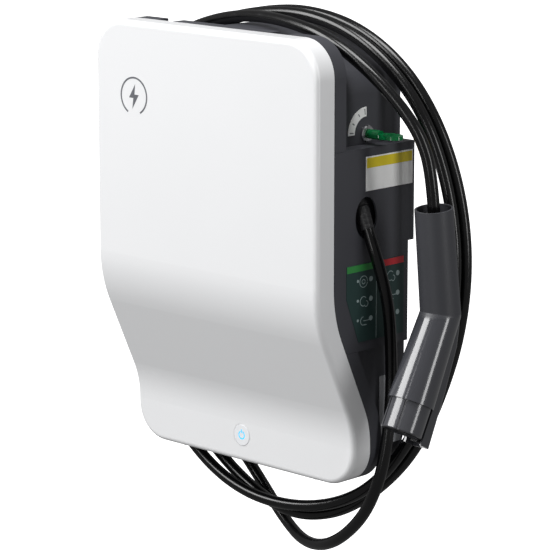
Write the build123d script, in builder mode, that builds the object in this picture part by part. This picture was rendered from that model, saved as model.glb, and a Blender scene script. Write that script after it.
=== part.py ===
from build123d import *
import math
import os

os.makedirs("parts", exist_ok=True)

# A tethered charging station for a wall. Millimetres. The wall is the plane Y = 0, the front
# faces -Y, +Z is up, and the origin is the centre of the wall plate's hole pattern. Values whose
# names end in AT are heights above the cover's bottom edge.

# Cover and its S-shaped side profile
WIDTH = 331.0
HEIGHT = 480.0
CORNER_R = 40.0
UPPER_DEPTH = 168.0
LOWER_DEPTH = 110.4
STEP_TOP_AT = 192.0
STEP_BOTTOM_AT = 66.0
UPPER_BEND_R = 140.0
LOWER_BEND_R = 100.0
EDGE_R = 6.0
WALL = 3.0
BAND = 26.0
SEAM = 0.8
SEAL_GAP = 0.1
SEAL_INSET = 0.8
SEAL_WIDTH = 1.8

# Clearances: between mouldings, of a shaft in its bore, and under a film or a flange
FIT = 0.3
RUNNING_FIT = 0.05
HOLE_FIT = 0.1

# Housing behind the cover
RIM = 17.0
HOUSING_REAR = 18.0
HOUSING_WALL = 3.0
CHANNEL = 20.5
CORE_BOTTOM_AT = 14.0
ARCH_OVER_LEDGE = 114.0
ARCH_R = 265.0
ARCH_CORNER_R = 30.0
CORE_CORNER_R = 80.0
NOTCH_X = 84.0
NOTCH_WIDTH = 24.0
NOTCH_DEPTH = 13.0
NOTCH_R = 4.0
RIB_SPOTS = [-90.0, -30.0, 30.0, 75.0]
RIB_T = 2.0
RIB_DEPTH = 4.2
RIB_LENGTH = 340.0
RIB_MIDDLE_AT = 250.0

# Screws in the lower edge, with their lugs
LUG_X = 100.0
LUG_WIDTH = 14.0
LUG_TOP_AT = 14.0
LUG_BACK = 14.0
SCREW_R = 1.8
SCREW_HEAD_R = 3.8
SCREW_HEAD = 2.4
SCREW_LENGTH = 12.0
LUG_FIT = 0.5

# Side block and its cover on the right
LEDGE_OVER_WINDOW = 73.0
SIDE_SEAM_AT = 150.0
BLOCK_INSIDE = 100.0
SIDE_SET_BACK = 4.5
SIDE_COVER_DEPTH = 12.0
SIDE_COVER_WALL = 2.5
STEP_REAR_AT = 258.0
LOWER_REAR = 26.8

# Cable outlet
WINDOW_RISE = 7.625
WINDOW_WIDTH = 33.0
WINDOW_HEIGHT = 44.0
CABLE_D = 13.0
GLAND_R = 9.0
GLAND_LENGTH = 47.0
GLAND_SEAT = 38.0
GLAND_CHAMFER = 1.5
BOSS_WALL = 5.0
BOSS_BACK = 6.0
NUT_R = 14.0
NUT_T = 6.0

# Supply entry in the bottom
SUPPLY = (-40.0, -46.0)
SUPPLY_R = 16.0
SUPPLY_BORE_R = 10.0
SUPPLY_HEX_R = 20.0
SUPPLY_HEAD = 7.9
SUPPLY_THREAD = 13.8
SUPPLY_NUT_R = 21.0
PLUG_CAP_R = 13.0
PLUG_CAP = 1.95

# Key switch in the recess above the ledge
LOCK_BACK = 96.4
LOCK_OVER_LEDGE = 11.0
LOCK_R = 9.0
LOCK_FACE = 3.5
LOCK_CHAMFER = 1.0
LOCK_BARREL = 18.0
BARREL_WALL = 1.3
PLUG_R = 6.5
PLUG_TAIL = 2.0
PLUG_FACE = 4.4
BLADE = (8.0, 2.0)
BLADE_LENGTH = 21.0
COLLAR_R = 5.0
BOW = (15.0, 11.0)
BOW_T = 4.0
BOW_OUT = 34.0
BOW_HOLE_R = 3.0
SCALE_IN = 18.0
SCALE_OUT = 28.0
SCALE_T = 0.6
SWITCH_BODY = (13.5, 22.0, 24.0)
SWITCH_CHAMFER = 1.5

# Stop button
BUTTON_AT = 30.0
BUTTON_R = 12.0
BUTTON_RISE = 0.3
BUTTON_T = 3.3
BUTTON_EDGE_R = 0.8
BUTTON_SKIRT = 7.0
SKIRT_T = 2.0
BUTTON_TRAVEL = 1.2
BEZEL_R = 13.2
BEZEL_GAP = 0.25
BEZEL_LIP = 3.0
BEZEL_LIP_T = 1.55
STEM_R = 3.0
SIGN_R = 4.2
SIGN_LINE = 1.3
SIGN_BAR = 3.2
SIGN_DEPTH = 1.4
BOARD_GAP = 10.8
BUTTON_BOARD = (54.0, 26.0)
BOARD_T = 1.6
BOARD_BOSS_X = 22.0
BOARD_BOSS_R = 3.0
SWITCH_SIZE = 6.2
SWITCH_T = 2.6
SWITCH_TIP_R = 1.7
SWITCH_TIP = 0.6
SPRING_R = 7.0
SPRING_PITCH = 2.2
SPRING_LENGTH = 9.6
WIRE_R = 0.4

# Hand-held connector, from the cable end over the kink to the nose
HEAD_TILT = 27.5
GRIP_LENGTH = 112.9
GRIP_END_R = 20.0
KINK_R = 21.3
HEAD_LENGTH = 98.0
HEAD_R = 24.8
SHELL = 3.4
BOOT_DEPTH = 6.0
BOOT_LENGTH = 30.0
BOOT_TIP = 5.0
NOSE_R = 21.9
NOSE_OUT = 32.0
NOSE_IN = 53.0
NOSE_WALL = 2.8
NOSE_EDGE_R = 1.2
NOSE_FLOOR = 38.0
KEYWAY = (2.4, 3.0)
KEYWAY_ANGLE = 63.0
KEYWAY_SPREAD = 108.0
INSERT_IN = 36.0
INSERT_SET_BACK = 2.0
CONTACT_DEPTH = 32.0
CONTACT_LENGTH = 27.0
POWER_R = 4.5
POWER_BORE_R = 2.6
SIGNAL_R = 2.8
SIGNAL_BORE_R = 1.5
POWER_SPOTS = [(-7.2, 6.5), (7.2, 6.5), (0, -10.5)]
SIGNAL_SPOTS = [(-11.5, -5.2), (11.5, -5.2)]

# Latch and the hump over it: distances along the head from the kink, and out from its axis
HUMP_START = (-6.0, 19.5)
HUMP_RISE = (6.0, 24.0)
HUMP_BEND = (25.0, 30.0)
HUMP_SHOULDER = (72.0, 35.0)
HUMP_TOP = 38.5
HUMP_HALF = 12.0
HUMP_EDGE_R = 4.0
HUMP_WALL = 2.6
HUMP_FOOT = 10.0
VISOR_OUT = 5.0
VISOR_GAP = 0.7
VISOR_STEP = 4.0
PIN_R = 1.5
PIN_SEAT = 1.1
PIN_END_GAP = 0.1
PIVOT = (52.0, 27.2)
PIVOT_WALL = 1.2
LATCH_HALF = 4.5
LATCH_REACH = 2.0
LATCH_TOP = 29.4
LATCH_THICK = 3.6
HOOK_LENGTH = 6.0
HOOK_TIP = 23.2
THUMB_WINDOW = (3.0, 21.0)
THUMB_GAP = 2.0
THUMB_NOSE_GAP = 2.5
THUMB_FOOT = 22.2
THUMB_REAR = 28.5
THUMB_CREST_AT = 12.0
THUMB_CREST = 31.0
THUMB_TOP = 31.5
THUMB_STEP = 24.6
THUMB_UNDER = 21.6
LEVER_BEND_AT = 25.0
LEVER_BEND = 26.4
LEVER_TOP = 28.8
LEVER_UNDER = 24.8
PIVOT_HALF = 6.0
HOOK_SLOPE = 2.0
HOOK_ROOT = 2.88
THUMB_HALF = 6.0

# Wall plate
PLATE_WIDTH = 200.0
PLATE_HEIGHT = 300.0
PLATE_T = 2.5
PLATE_R = 3.0
FLANGE_INSET = 15.0
HOLE_SPACING_X = 160.0
HOLE_SPACING_Z = 260.0
HOLE_R = 3.3
PLATE_WINDOW = (90.0, 150.0, 10.0)
PLATE_FIT = 2.5
FRAME_WALL = 3.5
FIXING_R = 1.9
FIXING_X = 70.0
FIXING_Y = -10.0

# Labels on the right side
LABEL_T = 0.5
RATING_FRONT = 44.9
RATING_WIDTH = 34.0
RATING_LOW_AT = 40.0
RATING_HEIGHT = 76.0
STICKER_UNDER_LEDGE = 9.0
STICKER_HEIGHT = 36.0
STICKER_WIDTH = 72.5
STICKER_REAR = 3.5
PANEL_LOW_AT = 160.0
PANEL_HEIGHT = 83.0
PANEL_REAR = 16.0
PANEL_WIDTH = 89.0
PANEL_SLANT = (19.0, 48.0)

# Devices on the rail
RAIL_AT = 330.0
RAIL_LEFT = -125.0
RAIL_LENGTH = 230.0
RAIL_HALF = 17.5
RAIL_WEB_HALF = 12.5
RAIL_DEPTH = 7.5
RAIL_T = 1.0
RAIL_FIT = 0.3
DEVICE_HEIGHT = 86.0
DEVICE_DEPTH = 62.0
DEVICE_SHOULDER = 0.7
DEVICE_NOSE = 0.27
DEVICE_GAP = 4.0
DEVICES_LEFT = -118.0
BREAKER_WIDTH = 36.0
CONTACTOR_WIDTH = 45.0
SUPPLY_UNIT_WIDTH = 52.0
LEVER = (16.0, 9.0, 10.0)
LEVER_R = 2.0

# Control board and terminals
CONTROL_X = 42.0
CONTROL_AT = 180.0
CONTROL_WIDTH = 112.0
CONTROL_HEIGHT = 132.0
CONTROL_R = 3.0
PILLAR_LENGTH = 23.9
PILLAR_R = 4.0
PILLAR_INSET = 6.0
RELAY = (20.0, 15.35, 28.0)
RELAY_PITCH = 30.0
RELAY_RISE = 30.0
SENSOR_R = 17.0
SENSOR_BORE_R = 9.0
SENSOR_T = 14.0
SENSOR_EDGE_R = 2.5
SENSOR_DROP = 25.0
TERMINAL_AT = 80.0
TERMINAL_LEFT = -110.0
TERMINAL_LENGTH = 80.0
TERMINAL_HEIGHT = 50.0
TERMINAL_DEPTH = 31.7
TERMINAL_BEVEL = (12.0, 14.0)
TERMINAL_PITCH = 16.0
TERMINAL_MOUTH = 9.0
TERMINAL_MOUTH_DEPTH = 10.0

# The cable's route, wound round the housing from the gland to the connector: x for a housing of
# ROUTE_WIDTH, y, and the height above the cover's bottom edge
ROUTE_WIDTH = 331.0
ROUTE = [
    (156, -91, 300),
    (172, -94, 272),
    (180, -87, 238),
    (180, -73, 196),
    (176, -64, 150),
    (175, -62, 100),
    (175, -67, 50),
    (168, -73, 0),
    (142, -72, -46),
    (96, -68, -84),
    (40, -50, -99),
    (-14, -28, -87),
    (-60, -19, -52),
    (-104, -19, -9),
    (-152, -18, 37),
    (-194, -18, 97),
    (-224, -20, 169),
    (-236, -21, 245),
    (-228, -24, 320),
    (-200, -28, 390),
    (-158, -32, 438),
    (-100, -34, 470),
    (-34, -36, 486.5),
    (34, -36, 491.5),
    (104, -33, 477),
    (163, -29, 440),
    (204, -24, 386),
    (229, -18, 318),
    (238, -15, 244),
    (230, -15, 168),
    (206, -15, 98),
    (172, -18, 27),
    (124, -25, -26),
    (68, -33, -63),
    (4, -40, -74),
    (-58, -42, -52),
    (-114, -43, -16),
    (-166, -43, 32),
    (-206, -42, 93),
    (-232, -42, 164),
    (-240, -42, 240),
    (-232, -43, 316),
    (-203, -45, 386),
    (-158, -47, 438),
    (-100, -49, 469.5),
    (-34, -50, 486.5),
    (36, -50, 490),
    (102, -48, 476),
    (158, -44, 441),
    (200, -39, 392),
    (226, -34, 326),
    (237, -32, 256),
    (232, -30, 184),
    (212, -30, 114),
    (180, -33, 46),
    (134, -39, -14),
    (82, -46, -46),
    (18, -53, -60),
    (-48, -57, -56),
    (-106, -58, -33),
    (-158, -58, 9),
    (-198, -58, 64),
    (-222, -58, 134),
    (-230, -59, 208),
    (-226, -62, 284),
    (-207, -66, 355),
    (-174, -71, 420),
    (-122, -77, 460),
    (-64, -82, 479),
    (-4, -88, 488.5),
    (60, -98, 487),
    (123, -105, 476),
    (174, -101, 447),
    (211, -92, 413),
    (233, -86, 383),
    (244, -81.3, 347.6),
    (244, -76.3, 302.8),
]


def level(height):
    """The Z of a height above the cover's bottom edge."""
    return height - HEIGHT / 2


def route_point(x, y, height):
    """A point of the route, which keeps its distance from the housing's sides."""
    return Vector(x + math.copysign((WIDTH - ROUTE_WIDTH) / 2, x), y, level(height))


route = [route_point(*point) for point in ROUTE]

# Places that follow from the sizes
SIDE_X = WIDTH / 2
SIDE_INNER_X = SIDE_X - SIDE_COVER_DEPTH
BLOCK_X = SIDE_X - SIDE_SET_BACK
CORE_X = SIDE_X - CHANNEL
FRONT_Y = -LOWER_DEPTH
BACK_Y = -HOUSING_REAR - HOUSING_WALL
RIM_FRONT = BAND + SEAM
outward = (SIDE_X - route[0].X) / (route[1].X - route[0].X)
outlet = route[0] + (route[1] - route[0]) * outward
WINDOW_Z = outlet.Z + WINDOW_RISE
LEDGE_Z = WINDOW_Z + LEDGE_OVER_WINDOW
LOCK_Y = -UPPER_DEPTH + LOCK_BACK
LOCK_Z = LEDGE_Z + LOCK_OVER_LEDGE
ARCH_Z = LEDGE_Z + ARCH_OVER_LEDGE - ARCH_R
BUTTON_Z = level(BUTTON_AT)


def block(x, y, z):
    """A rectangular block between two values on each axis, in the open builder."""
    with Locations((sum(x) / 2, sum(y) / 2, sum(z) / 2)):
        return Box(x[1] - x[0], y[1] - y[0], z[1] - z[0])


def s_points(shift, low, high):
    """Corner points of the S profile, moved back from the front face by shift."""
    return [
        (-LOWER_DEPTH + shift, low),
        (-LOWER_DEPTH + shift, level(STEP_BOTTOM_AT)),
        (-UPPER_DEPTH + shift, level(STEP_TOP_AT)),
        (-UPPER_DEPTH + shift, high),
    ]


def s_slab(front, back, half_width, low=-HEIGHT / 2, high=HEIGHT / 2):
    """A slab between two copies of the S profile; back may be None for a flat rear at the wall side."""
    with BuildPart() as slab:
        with BuildSketch(Plane.YZ.offset(-half_width)):
            with BuildLine():
                near = FilletPolyline(*s_points(front, low, high), radius=[LOWER_BEND_R, UPPER_BEND_R])
                if back is None:
                    Polyline(near @ 1, (-HOUSING_REAR, high), (-HOUSING_REAR, low), near @ 0)
                else:
                    far = FilletPolyline(*s_points(back, low, high), radius=[LOWER_BEND_R, UPPER_BEND_R])
                    Line(near @ 0, far @ 0)
                    Line(near @ 1, far @ 1)
            make_face()
        extrude(amount=2 * half_width)
    return slab.part


def s_moulding(front, back, inset):
    """The S slab cut to the rounded front outline, which is drawn in by inset."""
    with BuildPart() as moulding:
        add(s_slab(front, back, WIDTH / 2))
        with BuildSketch(Plane.XZ):
            RectangleRounded(WIDTH - 2 * inset, HEIGHT - 2 * inset, CORNER_R - inset)
        extrude(amount=2 * UPPER_DEPTH, mode=Mode.INTERSECT)
    return moulding.part


def outer_loop(faces):
    """The edges that border a patch of faces, without those between two of them."""
    edges = [edge for face in faces for edge in face.edges()]
    return [edge for edge in edges if sum(edge.is_same(other) for other in edges) == 1]


def core_outline(inset):
    """Front view of the housing's core: arched top for the wound cable, round lower corner."""
    half = CORE_X - inset
    arch_r = ARCH_R - inset
    shoulder = ARCH_Z + math.sqrt(arch_r**2 - half**2)
    bottom = level(CORE_BOTTOM_AT) + inset
    with BuildSketch() as outline:
        with BuildLine():
            Line((-half, bottom), (half, bottom))
            Line((half, bottom), (half, shoulder))
            ThreePointArc((half, shoulder), (0, ARCH_Z + arch_r), (-half, shoulder))
            Line((-half, shoulder), (-half, bottom))
        make_face()
        fillet(outline.vertices().group_by(Axis.Y)[-1], ARCH_CORNER_R - inset)
        fillet(outline.vertices().group_by(Axis.Y)[0].sort_by(Axis.X)[0], CORE_CORNER_R - inset)
    return outline.sketch


def side_outline(right, inset):
    """Front view of the block on the core's right, from its bottom to the ledge."""
    bottom = level(CORE_BOTTOM_AT) + inset
    top = LEDGE_Z - inset
    with BuildSketch() as outline:
        with BuildLine():
            Polyline((BLOCK_INSIDE, bottom), (right, bottom), (right, top), (BLOCK_INSIDE, top), close=True)
        make_face()
        fillet(outline.vertices().group_by(Axis.Y)[0].sort_by(Axis.X)[-1], CORNER_R - (SIDE_X - right))
    return outline.sketch


def side_cover_body(inset, inner_x, outer_x):
    """The side cover's block: the S profile in front, a stepped rear edge behind."""
    low = level(SIDE_SEAM_AT) + inset
    high = LEDGE_Z - inset
    with BuildPart() as body:
        add(s_slab(RIM_FRONT + inset, None, SIDE_X))
        with BuildSketch(Plane.YZ.offset(inner_x)):
            with BuildLine():
                Polyline(
                    (-UPPER_DEPTH, low),
                    (-LOWER_REAR - inset, low),
                    (-LOWER_REAR - inset, level(STEP_REAR_AT)),
                    (-HOUSING_REAR - inset, level(STEP_REAR_AT) + inset),
                    (-HOUSING_REAR - inset, high),
                    (-UPPER_DEPTH, high),
                    close=True,
                )
            make_face()
        extrude(amount=outer_x - inner_x, mode=Mode.INTERSECT)
    return body.part


# Front cover: one deep moulding with the stepped front
cover_outside = s_moulding(0, BAND, 0)
cover_inside = s_moulding(WALL, BAND + WALL, WALL)
with BuildPart() as front_cover:
    add(cover_outside)
    front_faces = [face for face in front_cover.faces() if face.normal_at().Y < -0.8]
    fillet(outer_loop(front_faces), EDGE_R)
    add(cover_inside, mode=Mode.SUBTRACT)
    with BuildSketch(Plane.XZ.offset(LOWER_DEPTH + WALL)):
        with Locations((0, BUTTON_Z)):
            Circle(BEZEL_R + HOLE_FIT)
    extrude(amount=-3 * WALL, mode=Mode.SUBTRACT)
    # Bosses for the button's board
    with BuildSketch(Plane.XZ.offset(LOWER_DEPTH - WALL)):
        with Locations((-BOARD_BOSS_X, BUTTON_Z), (BOARD_BOSS_X, BUTTON_Z)):
            Circle(BOARD_BOSS_R)
    extrude(amount=-(BOARD_GAP - HOLE_FIT))
    # Holes for the two screws in the lower edge
    with BuildSketch(Plane.XY.offset(level(0) - WALL)):
        with Locations((-LUG_X, FRONT_Y + LUG_BACK), (LUG_X, FRONT_Y + LUG_BACK)):
            Circle(SCREW_R + LUG_FIT)
    extrude(amount=3 * WALL, mode=Mode.SUBTRACT)
front_cover.part.label = "front_cover"

# Seal between the cover and the housing's rim
with BuildPart() as cover_gasket:
    add(s_moulding(BAND + SEAL_GAP, BAND + SEAM - SEAL_GAP, SEAL_INSET))
    add(s_moulding(BAND - SEAM, BAND + 2 * SEAM, SEAL_INSET + SEAL_WIDTH), mode=Mode.SUBTRACT)
cover_gasket.part.label = "cover_gasket"

# Housing: rim, arched core and side block in one moulding, open to the front
gland_plane = Plane(origin=route[0], x_dir=(0, 1, 0), z_dir=(route[1] - route[0]).normalized())
slab_to_wall = s_slab(RIM_FRONT + 2, None, SIDE_X)
cavity_to_wall = s_slab(RIM_FRONT - 2, None, SIDE_X)
pocket_x = SIDE_INNER_X - FIT
FRAME_BOTTOM = -PLATE_HEIGHT / 2 - PLATE_FIT - FRAME_WALL
fixing_spots = [(-FIXING_X, FIXING_Y), (FIXING_X, FIXING_Y)]
with BuildPart() as core_body:
    with BuildSketch(Plane.XZ):
        add(core_outline(0))
    extrude(amount=UPPER_DEPTH)
    add(slab_to_wall, mode=Mode.INTERSECT)
with BuildPart() as core_cavity:
    with BuildSketch(Plane.XZ.offset(-BACK_Y)):
        add(core_outline(HOUSING_WALL))
    extrude(amount=UPPER_DEPTH)
    add(cavity_to_wall, mode=Mode.INTERSECT)
with BuildPart() as side_block:
    with BuildSketch(Plane.XZ.offset(LOWER_REAR)):
        add(side_outline(BLOCK_X, 0))
    extrude(amount=UPPER_DEPTH)
    add(slab_to_wall, mode=Mode.INTERSECT)
    block((BLOCK_INSIDE, SIDE_INNER_X), (-2 * LOWER_REAR, -HOUSING_REAR), (level(STEP_REAR_AT), LEDGE_Z))
with BuildPart() as side_cavity:
    with BuildSketch(Plane.XZ.offset(LOWER_REAR + HOUSING_WALL)):
        add(side_outline(pocket_x - HOUSING_WALL, HOUSING_WALL))
    extrude(amount=UPPER_DEPTH)
    add(cavity_to_wall, mode=Mode.INTERSECT)
with BuildPart() as rear_frame:
    with BuildSketch(Plane.XZ.offset(FIT)):
        Rectangle(PLATE_WIDTH + 2 * (PLATE_FIT + FRAME_WALL), PLATE_HEIGHT + 2 * (PLATE_FIT + FRAME_WALL))
        Rectangle(PLATE_WIDTH + 2 * PLATE_FIT, PLATE_HEIGHT + 2 * PLATE_FIT, mode=Mode.SUBTRACT)
    extrude(amount=HOUSING_REAR)
    with BuildSketch(Plane.XY.offset(FRAME_BOTTOM - FRAME_WALL)):
        with Locations(*fixing_spots):
            Circle(FIXING_R + HOLE_FIT)
    extrude(amount=3 * FRAME_WALL, mode=Mode.SUBTRACT)
with BuildPart() as housing:
    add(s_moulding(RIM_FRONT, RIM_FRONT + RIM, 0))
    add(s_moulding(RIM_FRONT - RIM, RIM_FRONT + RIM - HOUSING_WALL, HOUSING_WALL), mode=Mode.SUBTRACT)
    add(core_body.part)
    add(side_block.part)
    add(core_cavity.part, mode=Mode.SUBTRACT)
    add(side_cavity.part, mode=Mode.SUBTRACT)
    # Boss that the cable gland is screwed through
    with BuildSketch(gland_plane.offset(-GLAND_SEAT)):
        Circle(GLAND_R + BOSS_WALL)
    extrude(amount=GLAND_SEAT - BOSS_BACK)
    add(side_cover_body(-FIT, pocket_x, 2 * SIDE_X), mode=Mode.SUBTRACT)
    add(rear_frame.part)
    # Notches in the top of the rim
    for side in (-1, 1):
        with BuildSketch(Plane.XZ):
            with Locations((side * NOTCH_X, level(HEIGHT))):
                RectangleRounded(NOTCH_WIDTH, 2 * NOTCH_DEPTH, NOTCH_R)
        extrude(amount=UPPER_DEPTH, mode=Mode.SUBTRACT)
    # Ribs across the back wall
    with Locations(*[(x, BACK_Y - RIB_DEPTH / 2 + HOLE_FIT, level(RIB_MIDDLE_AT)) for x in RIB_SPOTS]):
        Box(RIB_T, RIB_DEPTH, RIB_LENGTH)
    # Lugs that take the cover's screws
    for side in (-1, 1):
        lug_x = (side * LUG_X - LUG_WIDTH / 2, side * LUG_X + LUG_WIDTH / 2)
        lug_back = FRONT_Y + RIM_FRONT + RIM - HOUSING_WALL / 3
        block(lug_x, (FRONT_Y + LUG_BACK / 2, lug_back), (level(WALL) + FIT, level(LUG_TOP_AT)))
        block(lug_x, (FRONT_Y + RIM_FRONT, lug_back), (level(HOUSING_WALL / 3), level(LUG_TOP_AT)))
        with BuildSketch(Plane.XY.offset(level(0))):
            with Locations((side * LUG_X, FRONT_Y + LUG_BACK)):
                Circle(SCREW_R)
        extrude(amount=SCREW_LENGTH, mode=Mode.SUBTRACT)
    # Openings for the key switch, the cable gland and the supply gland
    with BuildSketch(Plane.YZ.offset(CORE_X - 2 * HOUSING_WALL)):
        with Locations((LOCK_Y, LOCK_Z)):
            Circle(LOCK_R - BARREL_WALL + FIT)
    extrude(amount=3 * HOUSING_WALL, mode=Mode.SUBTRACT)
    with BuildSketch(gland_plane.offset(-GLAND_LENGTH)):
        Circle(GLAND_R + HOLE_FIT)
    extrude(amount=1.2 * GLAND_LENGTH, mode=Mode.SUBTRACT)
    with BuildSketch(Plane.XY.offset(level(CORE_BOTTOM_AT) - HOUSING_WALL)):
        with Locations(SUPPLY):
            Circle(SUPPLY_R + HOLE_FIT)
    extrude(amount=3 * HOUSING_WALL, mode=Mode.SUBTRACT)
housing.part.label = "housing"

# Side cover: a pan with the oval window that the cable leaves through
with BuildPart() as side_cover:
    add(side_cover_body(0, SIDE_INNER_X, SIDE_X))
    hollow_x = (SIDE_INNER_X - SIDE_COVER_WALL, SIDE_X - SIDE_COVER_WALL)
    add(side_cover_body(SIDE_COVER_WALL, *hollow_x), mode=Mode.SUBTRACT)
    with BuildSketch(Plane.YZ.offset(SIDE_INNER_X)):
        with Locations((outlet.Y, WINDOW_Z)):
            Ellipse(WINDOW_WIDTH / 2, WINDOW_HEIGHT / 2)
    extrude(amount=2 * SIDE_COVER_DEPTH, mode=Mode.SUBTRACT)
side_cover.part.label = "side_cover"

# Cable gland through the side wall, with its nut inside
with BuildPart() as cable_gland:
    with BuildSketch(gland_plane.offset(-GLAND_LENGTH)):
        Circle(GLAND_R)
    extrude(amount=GLAND_LENGTH)
    chamfer(cable_gland.edges().group_by(Axis.Z)[0], GLAND_CHAMFER)
cable_gland.part.label = "cable_gland"
with BuildPart() as gland_nut:
    with BuildSketch(gland_plane.offset(-GLAND_SEAT - NUT_T - 2 * HOLE_FIT)):
        RegularPolygon(NUT_R, 6)
        Circle(GLAND_R + RUNNING_FIT, mode=Mode.SUBTRACT)
    extrude(amount=NUT_T)
gland_nut.part.label = "gland_nut"

# Charging cable: wound round the housing, from the gland to the connector
cable_end = route[-1]
grip_dir = (route[-2] - cable_end).normalized()
kink = cable_end - grip_dir * (GRIP_LENGTH - BOOT_DEPTH)
head_dir = Vector(0, -math.sin(math.radians(HEAD_TILT)), -math.cos(math.radians(HEAD_TILT)))
grip_plane = Plane(origin=kink, x_dir=(1, 0, 0), z_dir=grip_dir)
head_plane = Plane(origin=kink, x_dir=(1, 0, 0), z_dir=head_dir)


def bend_radii(points):
    """An arc for each inner point, as large as its two runs allow."""
    radii = []
    for before, here, after in zip(points, points[1:], points[2:]):
        arriving = here - before
        leaving = after - here
        half_turn = math.radians(arriving.get_angle(leaving)) / 2
        radii.append(0.45 * min(arriving.length, leaving.length) / math.tan(half_turn))
    return radii


radii = bend_radii(route)
with BuildPart() as charging_cable:
    with BuildLine() as cable_line:
        FilletPolyline(*route, radius=radii)
    with BuildSketch(Plane(origin=route[0], z_dir=route[1] - route[0])):
        Circle(CABLE_D / 2)
    sweep()
charging_cable.part.label = "charging_cable"
cable_length = cable_line.wire().length
cable_section = math.pi * CABLE_D**2 / 4
print("cable length", round(cable_length), "mm, tightest bend", round(min(radii)), "mm")
print("cable radii", [round(r) for r in radii])
print("volume over section times length", round(charging_cable.part.volume / cable_section / cable_length, 4))

# Connector shell: grip, head and the hump over the latch, in two halves
NOSE_END = HEAD_LENGTH + NOSE_OUT
HOLLOW_R = KINK_R - SHELL
BORE_START = HEAD_LENGTH - NOSE_IN - VISOR_OUT
head_back = Vector(1, 0, 0).cross(head_dir)


def across_head(half_width):
    """A plane beside the connector: local x runs to the nose, local y to the back of the head."""
    return Plane(origin=kink - Vector(half_width, 0, 0), x_dir=head_dir, z_dir=(1, 0, 0))


def hump_block(inset, end):
    """The latch's housing along the back of the head, drawn in by inset on its outer sides."""
    with BuildPart() as hump:
        with BuildSketch(across_head(HUMP_HALF - inset)):
            with BuildLine():
                Polyline(
                    (HUMP_START[0] + inset, HUMP_FOOT),
                    (HUMP_START[0] + inset, HUMP_START[1] - inset),
                    (HUMP_RISE[0], HUMP_RISE[1] - inset),
                    (HUMP_BEND[0], HUMP_BEND[1] - inset),
                    (HUMP_SHOULDER[0], HUMP_SHOULDER[1] - inset),
                    (end, HUMP_TOP - inset),
                    (end, NOSE_R + VISOR_GAP),
                    (HEAD_LENGTH - VISOR_STEP, NOSE_R + VISOR_GAP),
                    (HEAD_LENGTH - VISOR_STEP, HUMP_FOOT),
                    close=True,
                )
            make_face()
        extrude(amount=2 * (HUMP_HALF - inset))
        if inset == 0:
            tops = [face for face in hump.faces() if face.normal_at().dot(head_back) > 0.8]
            ridges = [edge for edge in outer_loop(tops) if abs((edge % 0).X) < 0.5]
            fillet(ridges, HUMP_EDGE_R)
    return hump.part


with BuildPart() as shell_form:
    with BuildSketch(grip_plane):
        Circle(KINK_R)
    with BuildSketch(grip_plane.offset(GRIP_LENGTH)):
        Circle(GRIP_END_R)
    loft()
    with Locations(kink):
        Sphere(KINK_R)
    with BuildSketch(head_plane):
        Circle(KINK_R)
    with BuildSketch(head_plane.offset(HEAD_LENGTH)):
        Circle(HEAD_R)
    loft()
    add(hump_block(0, NOSE_END + VISOR_OUT))
with BuildPart() as shell_hollow:
    with BuildSketch(grip_plane):
        Circle(HOLLOW_R)
    extrude(amount=GRIP_LENGTH + SHELL)
    with Locations(kink):
        Sphere(HOLLOW_R)
    with BuildSketch(head_plane):
        Circle(HOLLOW_R)
    with BuildSketch(head_plane.offset(BORE_START)):
        Circle(NOSE_R + HOLE_FIT)
    loft()
    with BuildSketch(head_plane.offset(BORE_START)):
        Circle(NOSE_R + HOLE_FIT)
    extrude(amount=HEAD_LENGTH - BORE_START + SHELL)
    add(hump_block(HUMP_WALL, NOSE_END + 2 * VISOR_OUT))
with BuildPart() as connector_shell:
    add(shell_form.part)
    add(shell_hollow.part, mode=Mode.SUBTRACT)
    # Window in the hump for the thumb button
    with BuildSketch(across_head(THUMB_HALF)):
        with BuildLine():
            Polyline(
                (THUMB_WINDOW[0], HOLLOW_R),
                (THUMB_WINDOW[1], HOLLOW_R),
                (THUMB_WINDOW[1], HUMP_TOP),
                (THUMB_WINDOW[0], HUMP_TOP),
                close=True,
            )
        make_face()
    extrude(amount=2 * THUMB_HALF, mode=Mode.SUBTRACT)
    # Sockets for the latch's pin
    with BuildSketch(across_head(HUMP_HALF - PIN_SEAT)):
        with Locations(PIVOT):
            Circle(PIN_R + RUNNING_FIT / 2)
    extrude(amount=2 * (HUMP_HALF - PIN_SEAT), mode=Mode.SUBTRACT)
middle = Plane(origin=(kink.X, 0, 0), z_dir=(1, 0, 0))
with BuildPart() as connector_shell_left:
    add(connector_shell.part)
    split(bisect_by=middle, keep=Keep.BOTTOM)
connector_shell_left.part.label = "connector_shell_left"
with BuildPart() as connector_shell_right:
    add(connector_shell.part)
    split(bisect_by=middle, keep=Keep.TOP)
connector_shell_right.part.label = "connector_shell_right"

# Boot that grips the cable inside the handle
with BuildPart() as connector_boot:
    with BuildSketch(grip_plane.offset(GRIP_LENGTH - BOOT_DEPTH - BOOT_LENGTH)):
        Circle(HOLLOW_R - RUNNING_FIT)
    with BuildSketch(grip_plane.offset(GRIP_LENGTH - BOOT_DEPTH)):
        Circle(CABLE_D / 2 + BOOT_TIP)
    loft()
connector_boot.part.label = "connector_boot"

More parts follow.
